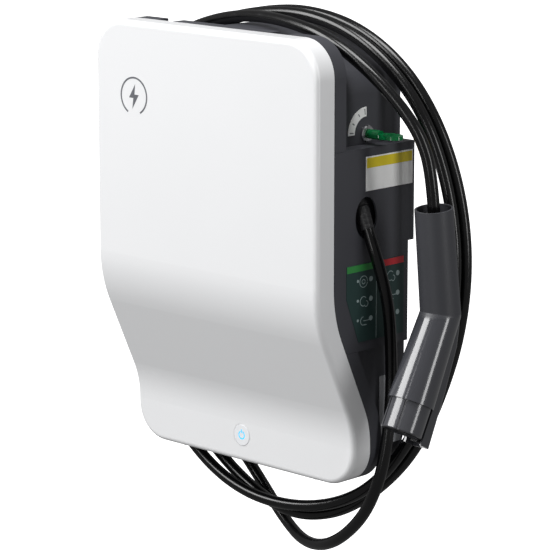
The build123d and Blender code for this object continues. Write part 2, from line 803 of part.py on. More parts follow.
# Nose that enters the vehicle's inlet, with two keyways
with BuildPart() as connector_nose:
    with BuildSketch(head_plane.offset(HEAD_LENGTH - NOSE_IN)):
        Circle(NOSE_R)
    extrude(amount=NOSE_IN + NOSE_OUT)
    fillet(connector_nose.edges().filter_by(GeomType.CIRCLE).sort_by(Axis.Z)[0], NOSE_EDGE_R)
    with BuildSketch(head_plane.offset(HEAD_LENGTH - NOSE_FLOOR)):
        Circle(NOSE_R - NOSE_WALL)
    extrude(amount=NOSE_END, mode=Mode.SUBTRACT)
    with BuildSketch(head_plane.offset(HEAD_LENGTH - 2 * VISOR_STEP)):
        with PolarLocations(NOSE_R, 2, start_angle=KEYWAY_ANGLE, angular_range=KEYWAY_SPREAD):
            Rectangle(*KEYWAY)
    extrude(amount=NOSE_END, mode=Mode.SUBTRACT)
connector_nose.part.label = "connector_nose"

# Insert that holds the five contacts
contact_plane = head_plane.offset(NOSE_END - CONTACT_DEPTH)
with BuildPart() as contact_insert:
    with BuildSketch(head_plane.offset(HEAD_LENGTH - INSERT_IN)):
        Circle(NOSE_R - NOSE_WALL - RUNNING_FIT)
    extrude(amount=INSERT_IN + NOSE_OUT - INSERT_SET_BACK)
    with BuildSketch(contact_plane):
        with Locations(*POWER_SPOTS):
            Circle(POWER_R + HOLE_FIT)
        with Locations(*SIGNAL_SPOTS):
            Circle(SIGNAL_R + HOLE_FIT)
    extrude(amount=2 * CONTACT_DEPTH, mode=Mode.SUBTRACT)
contact_insert.part.label = "contact_insert"
with BuildPart() as connector_contacts:
    with BuildSketch(contact_plane):
        with Locations(*POWER_SPOTS):
            Circle(POWER_R)
            Circle(POWER_BORE_R, mode=Mode.SUBTRACT)
        with Locations(*SIGNAL_SPOTS):
            Circle(SIGNAL_R)
            Circle(SIGNAL_BORE_R, mode=Mode.SUBTRACT)
    extrude(amount=CONTACT_LENGTH)
connector_contacts.part.label = "connector_contacts"

# Latch: thumb button, lever and hook in one moulding, on a cross pin
HOOK_END = NOSE_END + LATCH_REACH
with BuildPart() as connector_latch:
    with BuildSketch(across_head(LATCH_HALF)):
        with BuildLine():
            Polyline(
                (THUMB_WINDOW[0] + THUMB_GAP, THUMB_FOOT),
                (THUMB_WINDOW[0] + THUMB_GAP, THUMB_REAR),
                (THUMB_CREST_AT, THUMB_CREST),
                (THUMB_WINDOW[1] - THUMB_NOSE_GAP, THUMB_TOP),
                (THUMB_WINDOW[1] - THUMB_NOSE_GAP, THUMB_STEP),
                (LEVER_BEND_AT, LEVER_BEND),
                (PIVOT[0] - PIVOT_HALF, LEVER_TOP),
                (PIVOT[0] + PIVOT_HALF, LATCH_TOP),
                (HOOK_END, LATCH_TOP),
                (HOOK_END, HOOK_TIP),
                (HOOK_END - HOOK_LENGTH, HOOK_TIP),
                (HOOK_END - HOOK_LENGTH - HOOK_SLOPE, LATCH_TOP - HOOK_ROOT),
                (PIVOT[0] + PIVOT_HALF, LATCH_TOP - LATCH_THICK),
                (PIVOT[0] - PIVOT_HALF, LEVER_UNDER),
                (THUMB_WINDOW[1] - THUMB_GAP, THUMB_UNDER),
                close=True,
            )
        make_face()
        with Locations(PIVOT):
            Circle(PIN_R + PIVOT_WALL)
            Circle(PIN_R + RUNNING_FIT, mode=Mode.SUBTRACT)
    extrude(amount=2 * LATCH_HALF)
connector_latch.part.label = "connector_latch"
with BuildPart() as latch_pin:
    with BuildSketch(across_head(HUMP_HALF - PIN_SEAT - PIN_END_GAP)):
        with Locations(PIVOT):
            Circle(PIN_R)
    extrude(amount=2 * (HUMP_HALF - PIN_SEAT - PIN_END_GAP))
latch_pin.part.label = "latch_pin"


def lock_disc(radius, start, end, mode=Mode.ADD):
    """A disc about the lock's axis, between two distances out from the core's wall, in the open builder."""
    with BuildSketch(Plane.YZ.offset(CORE_X + start)) as disc:
        with Locations((LOCK_Y, LOCK_Z)):
            Circle(radius)
    extrude(disc.sketch, amount=end - start, mode=mode)


def lock_bar(size, start, end, mode=Mode.ADD):
    """A bar of the given section along the lock's axis, in the open builder."""
    with BuildSketch(Plane.YZ.offset(CORE_X + start)) as bar:
        with Locations((LOCK_Y, LOCK_Z)):
            Rectangle(*size)
    extrude(bar.sketch, amount=end - start, mode=mode)


# Key switch: body, turning plug and key
SLOT = (BLADE[0] + 4 * HOLE_FIT, BLADE[1] + 4 * HOLE_FIT)
FLANGE_END = FIT + LOCK_FACE
PLUG_END = PLUG_FACE
with BuildPart() as lock_body:
    lock_disc(LOCK_R, FIT, FLANGE_END)
    chamfer(lock_body.edges().group_by(Axis.X)[-1], LOCK_CHAMFER)
    lock_disc(LOCK_R - BARREL_WALL, -LOCK_BARREL, FIT)
    lock_disc(PLUG_R, -LOCK_BARREL, 2 * LOCK_FACE, Mode.SUBTRACT)
lock_body.part.label = "lock_body"
with BuildPart() as lock_plug:
    lock_disc(PLUG_R - RUNNING_FIT, -LOCK_BARREL - PLUG_TAIL, PLUG_END)
    lock_bar(SLOT, 1 - LOCK_BARREL, 2 * PLUG_END, Mode.SUBTRACT)
lock_plug.part.label = "lock_plug"
with BuildPart() as key:
    lock_bar(BLADE, PLUG_END + COLLAR_R / 2 - BLADE_LENGTH, PLUG_END + COLLAR_R)
    lock_disc(COLLAR_R, PLUG_END + 2 * FIT, BOW_OUT - BOW[0] + 2)
    with BuildSketch(Plane.XY.offset(LOCK_Z - BOW_T / 2)):
        with Locations((CORE_X + BOW_OUT, LOCK_Y)):
            Ellipse(*BOW)
            Circle(BOW_HOLE_R, mode=Mode.SUBTRACT)
    extrude(amount=BOW_T)
key.part.label = "key"
with BuildPart() as lock_scale:
    with BuildSketch(Plane.YZ.offset(CORE_X + RUNNING_FIT)):
        with BuildLine():
            outer = CenterArc((LOCK_Y, LOCK_Z), SCALE_OUT, 90, 90)
            inner = CenterArc((LOCK_Y, LOCK_Z), SCALE_IN, 90, 90)
            Line(outer @ 0, inner @ 0)
            Line(outer @ 1, inner @ 1)
        make_face()
    extrude(amount=SCALE_T)
lock_scale.part.label = "lock_scale"
with BuildPart() as lock_switch:
    lock_bar(SWITCH_BODY[1:], -LOCK_BARREL - PLUG_TAIL - 0.5 - SWITCH_BODY[0], -LOCK_BARREL - PLUG_TAIL - 0.5)
    chamfer(lock_switch.edges().filter_by(Axis.X), SWITCH_CHAMFER)
lock_switch.part.label = "lock_switch"


def button_ring(outside, inside, front, back):
    """A ring or disc about the button's axis, between two depths, in the open builder."""
    with BuildSketch(Plane.XZ.offset(-front)) as ring:
        with Locations((0, BUTTON_Z)):
            Circle(outside)
            if inside:
                Circle(inside, mode=Mode.SUBTRACT)
    extrude(ring.sketch, amount=-(back - front))


def power_sign(width, front):
    """A broken ring with a bar in its gap, on a plane at the given depth."""
    with BuildSketch(Plane.XZ.offset(-front)) as sign:
        with BuildLine():
            broken_ring = CenterArc((0, BUTTON_Z), SIGN_R, 120, 300)
        SlotArc(broken_ring, width)
        with Locations((0, BUTTON_Z + SIGN_R + 0.2)):
            SlotOverall(SIGN_BAR + width, width, rotation=90)
    return sign.sketch


# Stop button: cap, symbol, bezel, spring, switch and board
CAP_Y = FRONT_Y - BUTTON_RISE
BOARD_Y = FRONT_Y + WALL + BOARD_GAP
TIP_Y = BOARD_Y - SWITCH_T - SWITCH_TIP
with BuildPart() as button_bezel:
    button_ring(BEZEL_R, BUTTON_R + BEZEL_GAP, FRONT_Y, FRONT_Y + 3 * WALL)
    lip_y = FRONT_Y + WALL + RUNNING_FIT
    button_ring(BEZEL_R + BEZEL_LIP, BUTTON_R + BEZEL_GAP, lip_y, lip_y + BEZEL_LIP_T)
button_bezel.part.label = "button_bezel"
with BuildPart() as stop_button:
    button_ring(BUTTON_R, 0, CAP_Y, CAP_Y + BUTTON_T)
    fillet(stop_button.edges().group_by(Axis.Y)[0], BUTTON_EDGE_R)
    button_ring(BUTTON_R, BUTTON_R - SKIRT_T, CAP_Y + BUTTON_T / 2, FRONT_Y + BUTTON_SKIRT)
    button_ring(STEM_R, 0, CAP_Y + BUTTON_T / 2, TIP_Y - BUTTON_TRAVEL - FIT)
    sign_cut = power_sign(SIGN_LINE + HOLE_FIT, CAP_Y - SIGN_DEPTH)
    extrude(sign_cut, amount=-2.1 * SIGN_DEPTH, mode=Mode.SUBTRACT)
stop_button.part.label = "stop_button"
with BuildPart() as button_symbol:
    extrude(power_sign(SIGN_LINE, CAP_Y), amount=-SIGN_DEPTH)
button_symbol.part.label = "button_symbol"
with BuildPart() as button_board:
    with BuildSketch(Plane.XZ.offset(-BOARD_Y)):
        with Locations((0, BUTTON_Z)):
            RectangleRounded(*BUTTON_BOARD, 2)
    extrude(amount=-BOARD_T)
button_board.part.label = "button_board"
with BuildPart() as button_switch:
    switch_half = SWITCH_SIZE / 2
    switch_z = (BUTTON_Z - switch_half, BUTTON_Z + switch_half)
    block((-switch_half, switch_half), (BOARD_Y - SWITCH_T, BOARD_Y), switch_z)
    button_ring(SWITCH_TIP_R, 0, TIP_Y, BOARD_Y - SWITCH_T / 2)
button_switch.part.label = "button_switch"
with BuildPart() as button_spring:
    with BuildLine():
        spring_y = BOARD_Y - WIRE_R - HOLE_FIT - SPRING_LENGTH
        foot = (0, spring_y, BUTTON_Z)
        coil = Helix(SPRING_PITCH, SPRING_LENGTH, SPRING_R, center=foot, direction=(0, 1, 0))
    with BuildSketch(Plane(origin=coil @ 0, z_dir=coil % 0)):
        Circle(WIRE_R)
    sweep()
button_spring.part.label = "button_spring"

# Wall plate: pressed steel with turned edges
with BuildPart() as wall_plate:
    with BuildSketch(Plane.XZ):
        RectangleRounded(PLATE_WIDTH, PLATE_HEIGHT, PLATE_R)
        with GridLocations(HOLE_SPACING_X, HOLE_SPACING_Z, 2, 2):
            Circle(HOLE_R, mode=Mode.SUBTRACT)
        RectangleRounded(*PLATE_WINDOW, mode=Mode.SUBTRACT)
    extrude(amount=PLATE_T)
    flange_half = PLATE_WIDTH / 2 - FLANGE_INSET
    for end in (-1, 1):
        flange_z = sorted((end * PLATE_HEIGHT / 2, end * (PLATE_HEIGHT / 2 - PLATE_T)))
        block((-flange_half, flange_half), (-HOUSING_REAR + FIT, -PLATE_T / 2), flange_z)
    with BuildSketch(Plane.XY.offset(-PLATE_HEIGHT / 2 - PLATE_T)):
        with Locations(*fixing_spots):
            Circle(FIXING_R + HOLE_FIT)
    extrude(amount=3 * PLATE_T, mode=Mode.SUBTRACT)
wall_plate.part.label = "wall_plate"

# Labels: a blank rating plate, a two-tone sticker and a pictogram panel
with BuildPart() as rating_plate:
    rating_y = (FRONT_Y + RATING_FRONT, FRONT_Y + RATING_FRONT + RATING_WIDTH)
    rating_z = (level(RATING_LOW_AT), level(RATING_LOW_AT + RATING_HEIGHT))
    block((BLOCK_X + RUNNING_FIT, BLOCK_X + RUNNING_FIT + LABEL_T), rating_y, rating_z)
rating_plate.part.label = "rating_plate"
with BuildPart() as side_sticker:
    sticker_rear = -HOUSING_REAR - STICKER_REAR
    sticker_top = LEDGE_Z - STICKER_UNDER_LEDGE
    sticker_x = (SIDE_X + RUNNING_FIT, SIDE_X + RUNNING_FIT + LABEL_T)
    sticker_y = (sticker_rear - STICKER_WIDTH, sticker_rear)
    block(sticker_x, sticker_y, (sticker_top - STICKER_HEIGHT, sticker_top))
side_sticker.part.label = "side_sticker"
with BuildPart() as instruction_label:
    panel_rear = -HOUSING_REAR - PANEL_REAR
    panel_front = panel_rear - PANEL_WIDTH
    panel_top = PANEL_LOW_AT + PANEL_HEIGHT
    with BuildSketch(Plane.YZ.offset(SIDE_X + RUNNING_FIT)):
        with BuildLine():
            Polyline(
                (panel_front + PANEL_SLANT[0], level(PANEL_LOW_AT)),
                (panel_rear, level(PANEL_LOW_AT)),
                (panel_rear, level(panel_top)),
                (panel_front, level(panel_top)),
                (panel_front, level(PANEL_LOW_AT + PANEL_SLANT[1])),
                close=True,
            )
        make_face()
    extrude(amount=LABEL_T)
instruction_label.part.label = "instruction_label"


def screws_up(spots, seat, shank_r, length):
    """Screws that point up from a seat, each with its head below it, in the open builder."""
    with BuildSketch(Plane.XY.offset(seat - SCREW_HEAD - HOLE_FIT / 2)) as heads:
        with Locations(*spots):
            Circle(SCREW_HEAD_R)
    extrude(heads.sketch, amount=SCREW_HEAD)
    with BuildSketch(Plane.XY.offset(seat - SCREW_HEAD / 2)) as shanks:
        with Locations(*spots):
            Circle(shank_r)
    extrude(shanks.sketch, amount=SCREW_HEAD / 2 + length)


# Screws
with BuildPart() as cover_screws:
    lug_spots = [(-LUG_X, FRONT_Y + LUG_BACK), (LUG_X, FRONT_Y + LUG_BACK)]
    screws_up(lug_spots, level(0), SCREW_R - RUNNING_FIT, SCREW_LENGTH - FIT)
cover_screws.part.label = "cover_screws"
with BuildPart() as fixing_screws:
    screws_up(fixing_spots, FRAME_BOTTOM, FIXING_R, FRAME_WALL + PLATE_FIT + 2 * PLATE_T)
fixing_screws.part.label = "fixing_screws"

# Inside the core: rail with breaker, contactor and supply, then the controls
RAIL_Y = BACK_Y - RIB_DEPTH - HOLE_FIT
RAIL_Z = level(RAIL_AT)
with BuildPart() as din_rail:
    lip_y = RAIL_Y - RAIL_DEPTH
    with BuildSketch(Plane.YZ.offset(RAIL_LEFT)):
        with BuildLine():
            Polyline(
                (RAIL_Y, RAIL_Z - RAIL_WEB_HALF),
                (RAIL_Y, RAIL_Z + RAIL_WEB_HALF),
                (lip_y + RAIL_T, RAIL_Z + RAIL_WEB_HALF),
                (lip_y + RAIL_T, RAIL_Z + RAIL_HALF),
                (lip_y, RAIL_Z + RAIL_HALF),
                (lip_y, RAIL_Z + RAIL_WEB_HALF - RAIL_T),
                (RAIL_Y - RAIL_T, RAIL_Z + RAIL_WEB_HALF - RAIL_T),
                (RAIL_Y - RAIL_T, RAIL_Z - RAIL_WEB_HALF + RAIL_T),
                (lip_y, RAIL_Z - RAIL_WEB_HALF + RAIL_T),
                (lip_y, RAIL_Z - RAIL_HALF),
                (lip_y + RAIL_T, RAIL_Z - RAIL_HALF),
                (lip_y + RAIL_T, RAIL_Z - RAIL_WEB_HALF),
                close=True,
            )
        make_face()
    extrude(amount=RAIL_LENGTH)
din_rail.part.label = "din_rail"
DEVICE_Y = RAIL_Y - RAIL_DEPTH - RAIL_FIT


def rail_module(width, left):
    """A rail-mounted device: a body with a stepped front, in the open builder."""
    half = DEVICE_HEIGHT / 2
    nose_half = DEVICE_NOSE * DEVICE_HEIGHT
    shoulder_y = DEVICE_Y - DEVICE_SHOULDER * DEVICE_DEPTH
    front_y = DEVICE_Y - DEVICE_DEPTH
    with BuildSketch(Plane.YZ.offset(left)) as side_view:
        with BuildLine():
            Polyline(
                (DEVICE_Y, RAIL_Z - half),
                (DEVICE_Y, RAIL_Z + half),
                (shoulder_y, RAIL_Z + half),
                (shoulder_y, RAIL_Z + nose_half),
                (front_y, RAIL_Z + nose_half),
                (front_y, RAIL_Z - nose_half),
                (shoulder_y, RAIL_Z - nose_half),
                (shoulder_y, RAIL_Z - half),
                close=True,
            )
        make_face()
    extrude(side_view.sketch, amount=width)


contactor_left = DEVICES_LEFT + BREAKER_WIDTH + DEVICE_GAP
supply_left = contactor_left + CONTACTOR_WIDTH + DEVICE_GAP
with BuildPart() as residual_breaker:
    rail_module(BREAKER_WIDTH, DEVICES_LEFT)
residual_breaker.part.label = "residual_breaker"
with BuildPart() as contactor:
    rail_module(CONTACTOR_WIDTH, contactor_left)
contactor.part.label = "contactor"
with BuildPart() as power_supply:
    rail_module(SUPPLY_UNIT_WIDTH, supply_left)
power_supply.part.label = "power_supply"
with BuildPart() as breaker_lever:
    lever_x = DEVICES_LEFT + BREAKER_WIDTH / 2
    lever_y = DEVICE_Y - DEVICE_DEPTH - RUNNING_FIT
    lever_z = (RAIL_Z - LEVER[2] / 2, RAIL_Z + LEVER[2] / 2)
    block((lever_x - LEVER[0] / 2, lever_x + LEVER[0] / 2), (lever_y - LEVER[1], lever_y), lever_z)
    fillet(breaker_lever.edges().filter_by(Axis.X).group_by(Axis.Y)[0], LEVER_R)
breaker_lever.part.label = "breaker_lever"

CONTROL_Y = BACK_Y - PILLAR_LENGTH - HOLE_FIT
CONTROL_Z = level(CONTROL_AT)
PART_Y = CONTROL_Y - BOARD_T - RUNNING_FIT
with BuildPart() as control_board:
    with BuildSketch(Plane.XZ.offset(-CONTROL_Y)):
        with Locations((CONTROL_X, CONTROL_Z)):
            RectangleRounded(CONTROL_WIDTH, CONTROL_HEIGHT, CONTROL_R)
    extrude(amount=BOARD_T)
control_board.part.label = "control_board"
with BuildPart() as board_pillars:
    with BuildSketch(Plane.XZ.offset(-BACK_Y + RUNNING_FIT)):
        with Locations((CONTROL_X, CONTROL_Z)):
            with GridLocations(CONTROL_WIDTH - 2 * PILLAR_INSET, CONTROL_HEIGHT - 2 * PILLAR_INSET, 2, 2):
                RegularPolygon(PILLAR_R, 6)
    extrude(amount=PILLAR_LENGTH)
board_pillars.part.label = "board_pillars"
with BuildPart() as board_relays:
    with Locations((CONTROL_X, PART_Y - RELAY[1] / 2, CONTROL_Z + RELAY_RISE)):
        with GridLocations(RELAY_PITCH, 1, 3, 1):
            Box(*RELAY)
board_relays.part.label = "board_relays"
with BuildPart() as current_sensor:
    with BuildSketch(Plane.XZ.offset(-PART_Y)):
        with Locations((CONTROL_X, CONTROL_Z - SENSOR_DROP)):
            Circle(SENSOR_R)
            Circle(SENSOR_BORE_R, mode=Mode.SUBTRACT)
    extrude(amount=SENSOR_T)
    fillet(current_sensor.edges().group_by(Axis.Y)[0], SENSOR_EDGE_R)
current_sensor.part.label = "current_sensor"

TERMINAL_Y = BACK_Y - RIB_DEPTH - HOLE_FIT
with BuildPart() as terminal_block:
    terminal_z = (level(TERMINAL_AT), level(TERMINAL_AT + TERMINAL_HEIGHT))
    front_y = TERMINAL_Y - TERMINAL_DEPTH
    with BuildSketch(Plane.YZ.offset(TERMINAL_LEFT)):
        with BuildLine():
            Polyline(
                (TERMINAL_Y, terminal_z[0]),
                (TERMINAL_Y, terminal_z[1]),
                (front_y + TERMINAL_BEVEL[0], terminal_z[1]),
                (front_y, terminal_z[1] - TERMINAL_BEVEL[1]),
                (front_y, terminal_z[0] + TERMINAL_BEVEL[1]),
                (front_y + TERMINAL_BEVEL[0], terminal_z[0]),
                close=True,
            )
        make_face()
    extrude(amount=TERMINAL_LENGTH)
    mouth_x = TERMINAL_LEFT + TERMINAL_LENGTH / 2
    mouth_y = TERMINAL_Y - (TERMINAL_DEPTH - TERMINAL_BEVEL[0]) / 2
    with BuildSketch(Plane.XY.offset(terminal_z[0])):
        with Locations((mouth_x, mouth_y)):
            with GridLocations(TERMINAL_PITCH, 1, 5, 1):
                Rectangle(TERMINAL_MOUTH, TERMINAL_MOUTH)
    extrude(amount=TERMINAL_MOUTH_DEPTH, mode=Mode.SUBTRACT)
terminal_block.part.label = "terminal_block"


def supply_ring(sides, radius, bore, low, high):
    """Adds a ring, or a hexagon with a bore, about the supply entry's axis, between two heights."""
    with BuildSketch(Plane.XY.offset(level(CORE_BOTTOM_AT) + low)) as ring:
        with Locations(SUPPLY):
            if sides:
                RegularPolygon(radius, sides)
            else:
                Circle(radius)
            if bore:
                Circle(bore, mode=Mode.SUBTRACT)
    extrude(ring.sketch, amount=high - low)


# Supply entry in the bottom of the core, closed by a blanking plug
nut_low = HOUSING_WALL + RUNNING_FIT
with BuildPart() as supply_gland:
    supply_ring(6, SUPPLY_HEX_R, SUPPLY_BORE_R, -SUPPLY_HEAD - HOLE_FIT, -HOLE_FIT)
    supply_ring(0, SUPPLY_R, SUPPLY_BORE_R, -2 * HOLE_FIT, SUPPLY_THREAD)
supply_gland.part.label = "supply_gland"
with BuildPart() as supply_nut:
    supply_ring(6, SUPPLY_NUT_R, SUPPLY_R + RUNNING_FIT, nut_low, nut_low + NUT_T)
supply_nut.part.label = "supply_nut"
with BuildPart() as blanking_plug:
    cap_top = -SUPPLY_HEAD - HOLE_FIT - RUNNING_FIT
    supply_ring(0, PLUG_CAP_R, 0, cap_top - PLUG_CAP, cap_top)
    supply_ring(0, SUPPLY_BORE_R - HOLE_FIT, 0, cap_top - PLUG_CAP / 2, NUT_T)
blanking_plug.part.label = "blanking_plug"

export_step(front_cover.part, "parts/front_cover.step")
export_step(cover_gasket.part, "parts/cover_gasket.step")
export_step(housing.part, "parts/housing.step")
export_step(side_cover.part, "parts/side_cover.step")
export_step(cable_gland.part, "parts/cable_gland.step")
export_step(gland_nut.part, "parts/gland_nut.step")
export_step(charging_cable.part, "parts/charging_cable.step")
export_step(connector_shell_left.part, "parts/connector_shell_left.step")
export_step(connector_shell_right.part, "parts/connector_shell_right.step")
export_step(connector_boot.part, "parts/connector_boot.step")
export_step(connector_nose.part, "parts/connector_nose.step")
export_step(contact_insert.part, "parts/contact_insert.step")
export_step(connector_contacts.part, "parts/connector_contacts.step")
export_step(connector_latch.part, "parts/connector_latch.step")
export_step(latch_pin.part, "parts/latch_pin.step")
export_step(lock_body.part, "parts/lock_body.step")
export_step(lock_plug.part, "parts/lock_plug.step")
export_step(key.part, "parts/key.step")
export_step(lock_scale.part, "parts/lock_scale.step")
export_step(lock_switch.part, "parts/lock_switch.step")
export_step(button_bezel.part, "parts/button_bezel.step")
export_step(stop_button.part, "parts/stop_button.step")
export_step(button_symbol.part, "parts/button_symbol.step")
export_step(button_board.part, "parts/button_board.step")
export_step(button_switch.part, "parts/button_switch.step")
export_step(button_spring.part, "parts/button_spring.step")
export_step(wall_plate.part, "parts/wall_plate.step")
export_step(rating_plate.part, "parts/rating_plate.step")
export_step(side_sticker.part, "parts/side_sticker.step")
export_step(instruction_label.part, "parts/instruction_label.step")
export_step(cover_screws.part, "parts/cover_screws.step")
export_step(fixing_screws.part, "parts/fixing_screws.step")
export_step(din_rail.part, "parts/din_rail.step")
export_step(residual_breaker.part, "parts/residual_breaker.step")
export_step(contactor.part, "parts/contactor.step")
export_step(power_supply.part, "parts/power_supply.step")
export_step(breaker_lever.part, "parts/breaker_lever.step")
export_step(control_board.part, "parts/control_board.step")
export_step(board_pillars.part, "parts/board_pillars.step")
export_step(board_relays.part, "parts/board_relays.step")
export_step(current_sensor.part, "parts/current_sensor.step")
export_step(terminal_block.part, "parts/terminal_block.step")
export_step(supply_gland.part, "parts/supply_gland.step")
export_step(supply_nut.part, "parts/supply_nut.step")
export_step(blanking_plug.part, "parts/blanking_plug.step")
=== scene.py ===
"""A wall charging station with its wound cable, dressed for a picture; metres, in the part's frame."""
import logging
import math
from collections.abc import Sequence
from dataclasses import dataclass, field
from enum import Enum

import bmesh
import bpy
import numpy as np
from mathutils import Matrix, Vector


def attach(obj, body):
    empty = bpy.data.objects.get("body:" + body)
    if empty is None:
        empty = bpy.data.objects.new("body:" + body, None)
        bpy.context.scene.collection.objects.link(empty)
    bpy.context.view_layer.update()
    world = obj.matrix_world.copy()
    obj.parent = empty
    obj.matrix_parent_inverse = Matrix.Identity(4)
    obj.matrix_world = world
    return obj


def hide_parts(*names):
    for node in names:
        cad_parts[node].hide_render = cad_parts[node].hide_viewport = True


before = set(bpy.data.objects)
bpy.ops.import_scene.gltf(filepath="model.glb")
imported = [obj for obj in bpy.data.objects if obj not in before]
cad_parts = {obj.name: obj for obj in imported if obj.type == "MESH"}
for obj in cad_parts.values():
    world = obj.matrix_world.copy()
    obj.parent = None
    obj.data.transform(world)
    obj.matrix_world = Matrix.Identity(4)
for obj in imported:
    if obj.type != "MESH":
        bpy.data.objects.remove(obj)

log = logging.getLogger("station")

Colour = tuple[float, float, float]
Point = tuple[float, float, float]
Spot = tuple[float, float]
EVEN = (1.0, 1.0, 1.0)
MM = 0.001
STATION = "station"
HEIGHT = 480 * MM
UPPER_FRONT = -168 * MM
SIDE_X = 165.5 * MM


def level(height: float) -> float:
    """Z, in metres, of a height in millimetres above the cover's bottom edge."""
    return height * MM - HEIGHT / 2


class Axis(Enum):
    """Directions that fine lines can run in, as the scale of their noise along X, Y and Z."""

    X = (0.05, 1.0, 1.0)
    Y = (1.0, 0.05, 1.0)


class Value:
    """A socket of a material's nodes, with arithmetic that adds Math nodes."""

    def __init__(self, graph: "Graph", socket: bpy.types.NodeSocket) -> None:
        """Keeps the graph that the socket is in, and the socket."""
        self.graph = graph
        self.socket = socket

    def math(self, operation: str, *terms: "Value | float") -> "Value":
        """Adds one Math node.

        Args:
            operation: The Math node's operation.
            terms: What goes into its sockets, in order.

        Returns:
            The node's result.
        """
        return self.graph.node("ShaderNodeMath", {"operation": operation}, dict(enumerate(terms)))

    def __add__(self, other: "Value | float") -> "Value":
        """This plus the other."""
        return self.math("ADD", self, other)

    def __radd__(self, other: float) -> "Value":
        """The number plus this."""
        return self.math("ADD", other, self)

    def __sub__(self, other: "Value | float") -> "Value":
        """This minus the other."""
        return self.math("SUBTRACT", self, other)

    def __rsub__(self, other: float) -> "Value":
        """The number minus this."""
        return self.math("SUBTRACT", other, self)

    def __mul__(self, other: "Value | float") -> "Value":
        """This times the other."""
        return self.math("MULTIPLY", self, other)

    def __rmul__(self, other: float) -> "Value":
        """The number times this."""
        return self.math("MULTIPLY", other, self)

    def __gt__(self, other: "Value | float") -> "Value":
        """1 where this is more than the other, and 0 elsewhere."""
        return self.math("GREATER_THAN", self, other)

    def __lt__(self, other: "Value | float") -> "Value":
        """1 where this is less than the other, and 0 elsewhere."""
        return self.math("LESS_THAN", self, other)


class Graph:
    """The nodes of one material."""

    def __init__(self, name: str) -> None:
        """Starts a material with an output and nothing else."""
        self.material = bpy.data.materials.new(name)
        self.material.use_nodes = True
        self.tree = self.material.node_tree
        self.tree.nodes.clear()
        self.output = self.tree.nodes.new("ShaderNodeOutputMaterial")

    def node(
        self,
        kind: str,
        settings: dict[str, object] | None = None,
        inputs: dict[str | int, object] | None = None,
        result: str | int = 0,
    ) -> Value:
        """Adds any node.

        Args:
            kind: The node's type.
            settings: Its properties, or "stops" for a colour ramp's stops.
            inputs: Values or links of its sockets, by name or place.
            result: The output to return, by name or place.

        Returns:
            That output.
        """
        made = self.tree.nodes.new(kind)
        for name, value in (settings or {}).items():
            if name == "stops":
                ramp = made.color_ramp.elements
                for element, (place, shade) in zip(ramp, value):
                    element.position = place
                    element.color = (*shade, 1.0)
                for place, shade in value[len(ramp):]:
                    ramp.new(place).color = (*shade, 1.0)
            else:
                setattr(made, name, value)
        for name, value in (inputs or {}).items():
            if isinstance(value, Value):
                self.tree.links.new(value.socket, made.inputs[name])
            else:
                made.inputs[name].default_value = value
        return Value(self, made.outputs[result])

    def place(self) -> Value:
        """The surface's place in the piece's own coordinates."""
        return self.node("ShaderNodeTexCoord", result="Object")

    def axes(self, place: Value) -> tuple[Value, Value, Value]:
        """The three coordinates of a place, one value each.

        Args:
            place: Coordinates.

        Returns:
            Its X, Y and Z.
        """
        split = self.node("ShaderNodeSeparateXYZ", inputs={0: place})
        x, y, z = (Value(self, socket) for socket in split.socket.node.outputs)
        return x, y, z

    def noise(self, place: Value, scale: float, detail: float = 2.0, stretch: Point = EVEN) -> Value:
        """Smooth noise from 0 to 1.

        Args:
            place: Coordinates.
            scale: Waves per metre.
            detail: Octaves.
            stretch: Scale along each axis.

        Returns:
            The noise.
        """
        if stretch != EVEN:
            place = self.node("ShaderNodeMapping", inputs={"Vector": place, "Scale": stretch})
        return self.node("ShaderNodeTexNoise", inputs={"Vector": place, "Scale": scale, "Detail": detail})

    def mix(self, share: Value, low: Colour, high: Colour) -> Value:
        """A colour between two.

        Args:
            share: How much of the high one, from 0 to 1.
            low: The colour at 0.
            high: The colour at 1.

        Returns:
            The colour.
        """
        inputs = {0: share, 6: (*low, 1.0), 7: (*high, 1.0)}
        return self.node("ShaderNodeMix", {"data_type": "RGBA"}, inputs, result=2)

    def bump(self, height: Value, depth: float) -> Value:
        """A normal from a height of 0 to 1 that stands for a depth in metres."""
        return self.node("ShaderNodeBump", inputs={"Height": height, "Strength": 1.0, "Distance": depth})

    def finish(self, **sockets: object) -> bpy.types.Material:
        """Ends the material in a Principled shader.

        Args:
            sockets: The shader's sockets, with _ for each space.

        Returns:
            The material.
        """
        inputs = {name.replace("_", " "): value for name, value in sockets.items()}
        shader = self.node("ShaderNodeBsdfPrincipled", inputs=inputs)
        self.tree.links.new(shader.socket, self.output.inputs["Surface"])
        return self.material


def scaled(colour: Colour, share: float) -> Colour:
    """The colour times a share."""
    return (colour[0] * share, colour[1] * share, colour[2] * share)


@dataclass(frozen=True)
class Moulding:
    """Moulded plastic: a fine spark-eroded grain over faint flow marks, rubbed a little in places."""

    name: str
    colour: Colour
    roughness: float
    grain_depth: float
    grain_scale: float = 1400.0
    coat: float = 0.0
    mottle: float = 0.06
    flow_scale: float = 9.0
    rub_scale: float = 38.0
    rub_range: float = 0.08
    coat_roughness: float = 0.12

    def build(self) -> bpy.types.Material:
        """Builds the material.

        Returns:
            The material.
        """
        graph = Graph(self.name)
        place = graph.place()
        flow = graph.noise(place, self.flow_scale, 3.0)
        rub = graph.noise(place, self.rub_scale, 4.0)
        grain = graph.noise(place, self.grain_scale)
        shade = graph.mix(flow, scaled(self.colour, 1 - self.mottle), scaled(self.colour, 1 + self.mottle))
        return graph.finish(
            Base_Color=shade,
            Roughness=self.roughness - self.rub_range / 2 + self.rub_range * rub,
            Normal=graph.bump(grain, self.grain_depth),
            Coat_Weight=self.coat,
            Coat_Roughness=self.coat_roughness,
        )


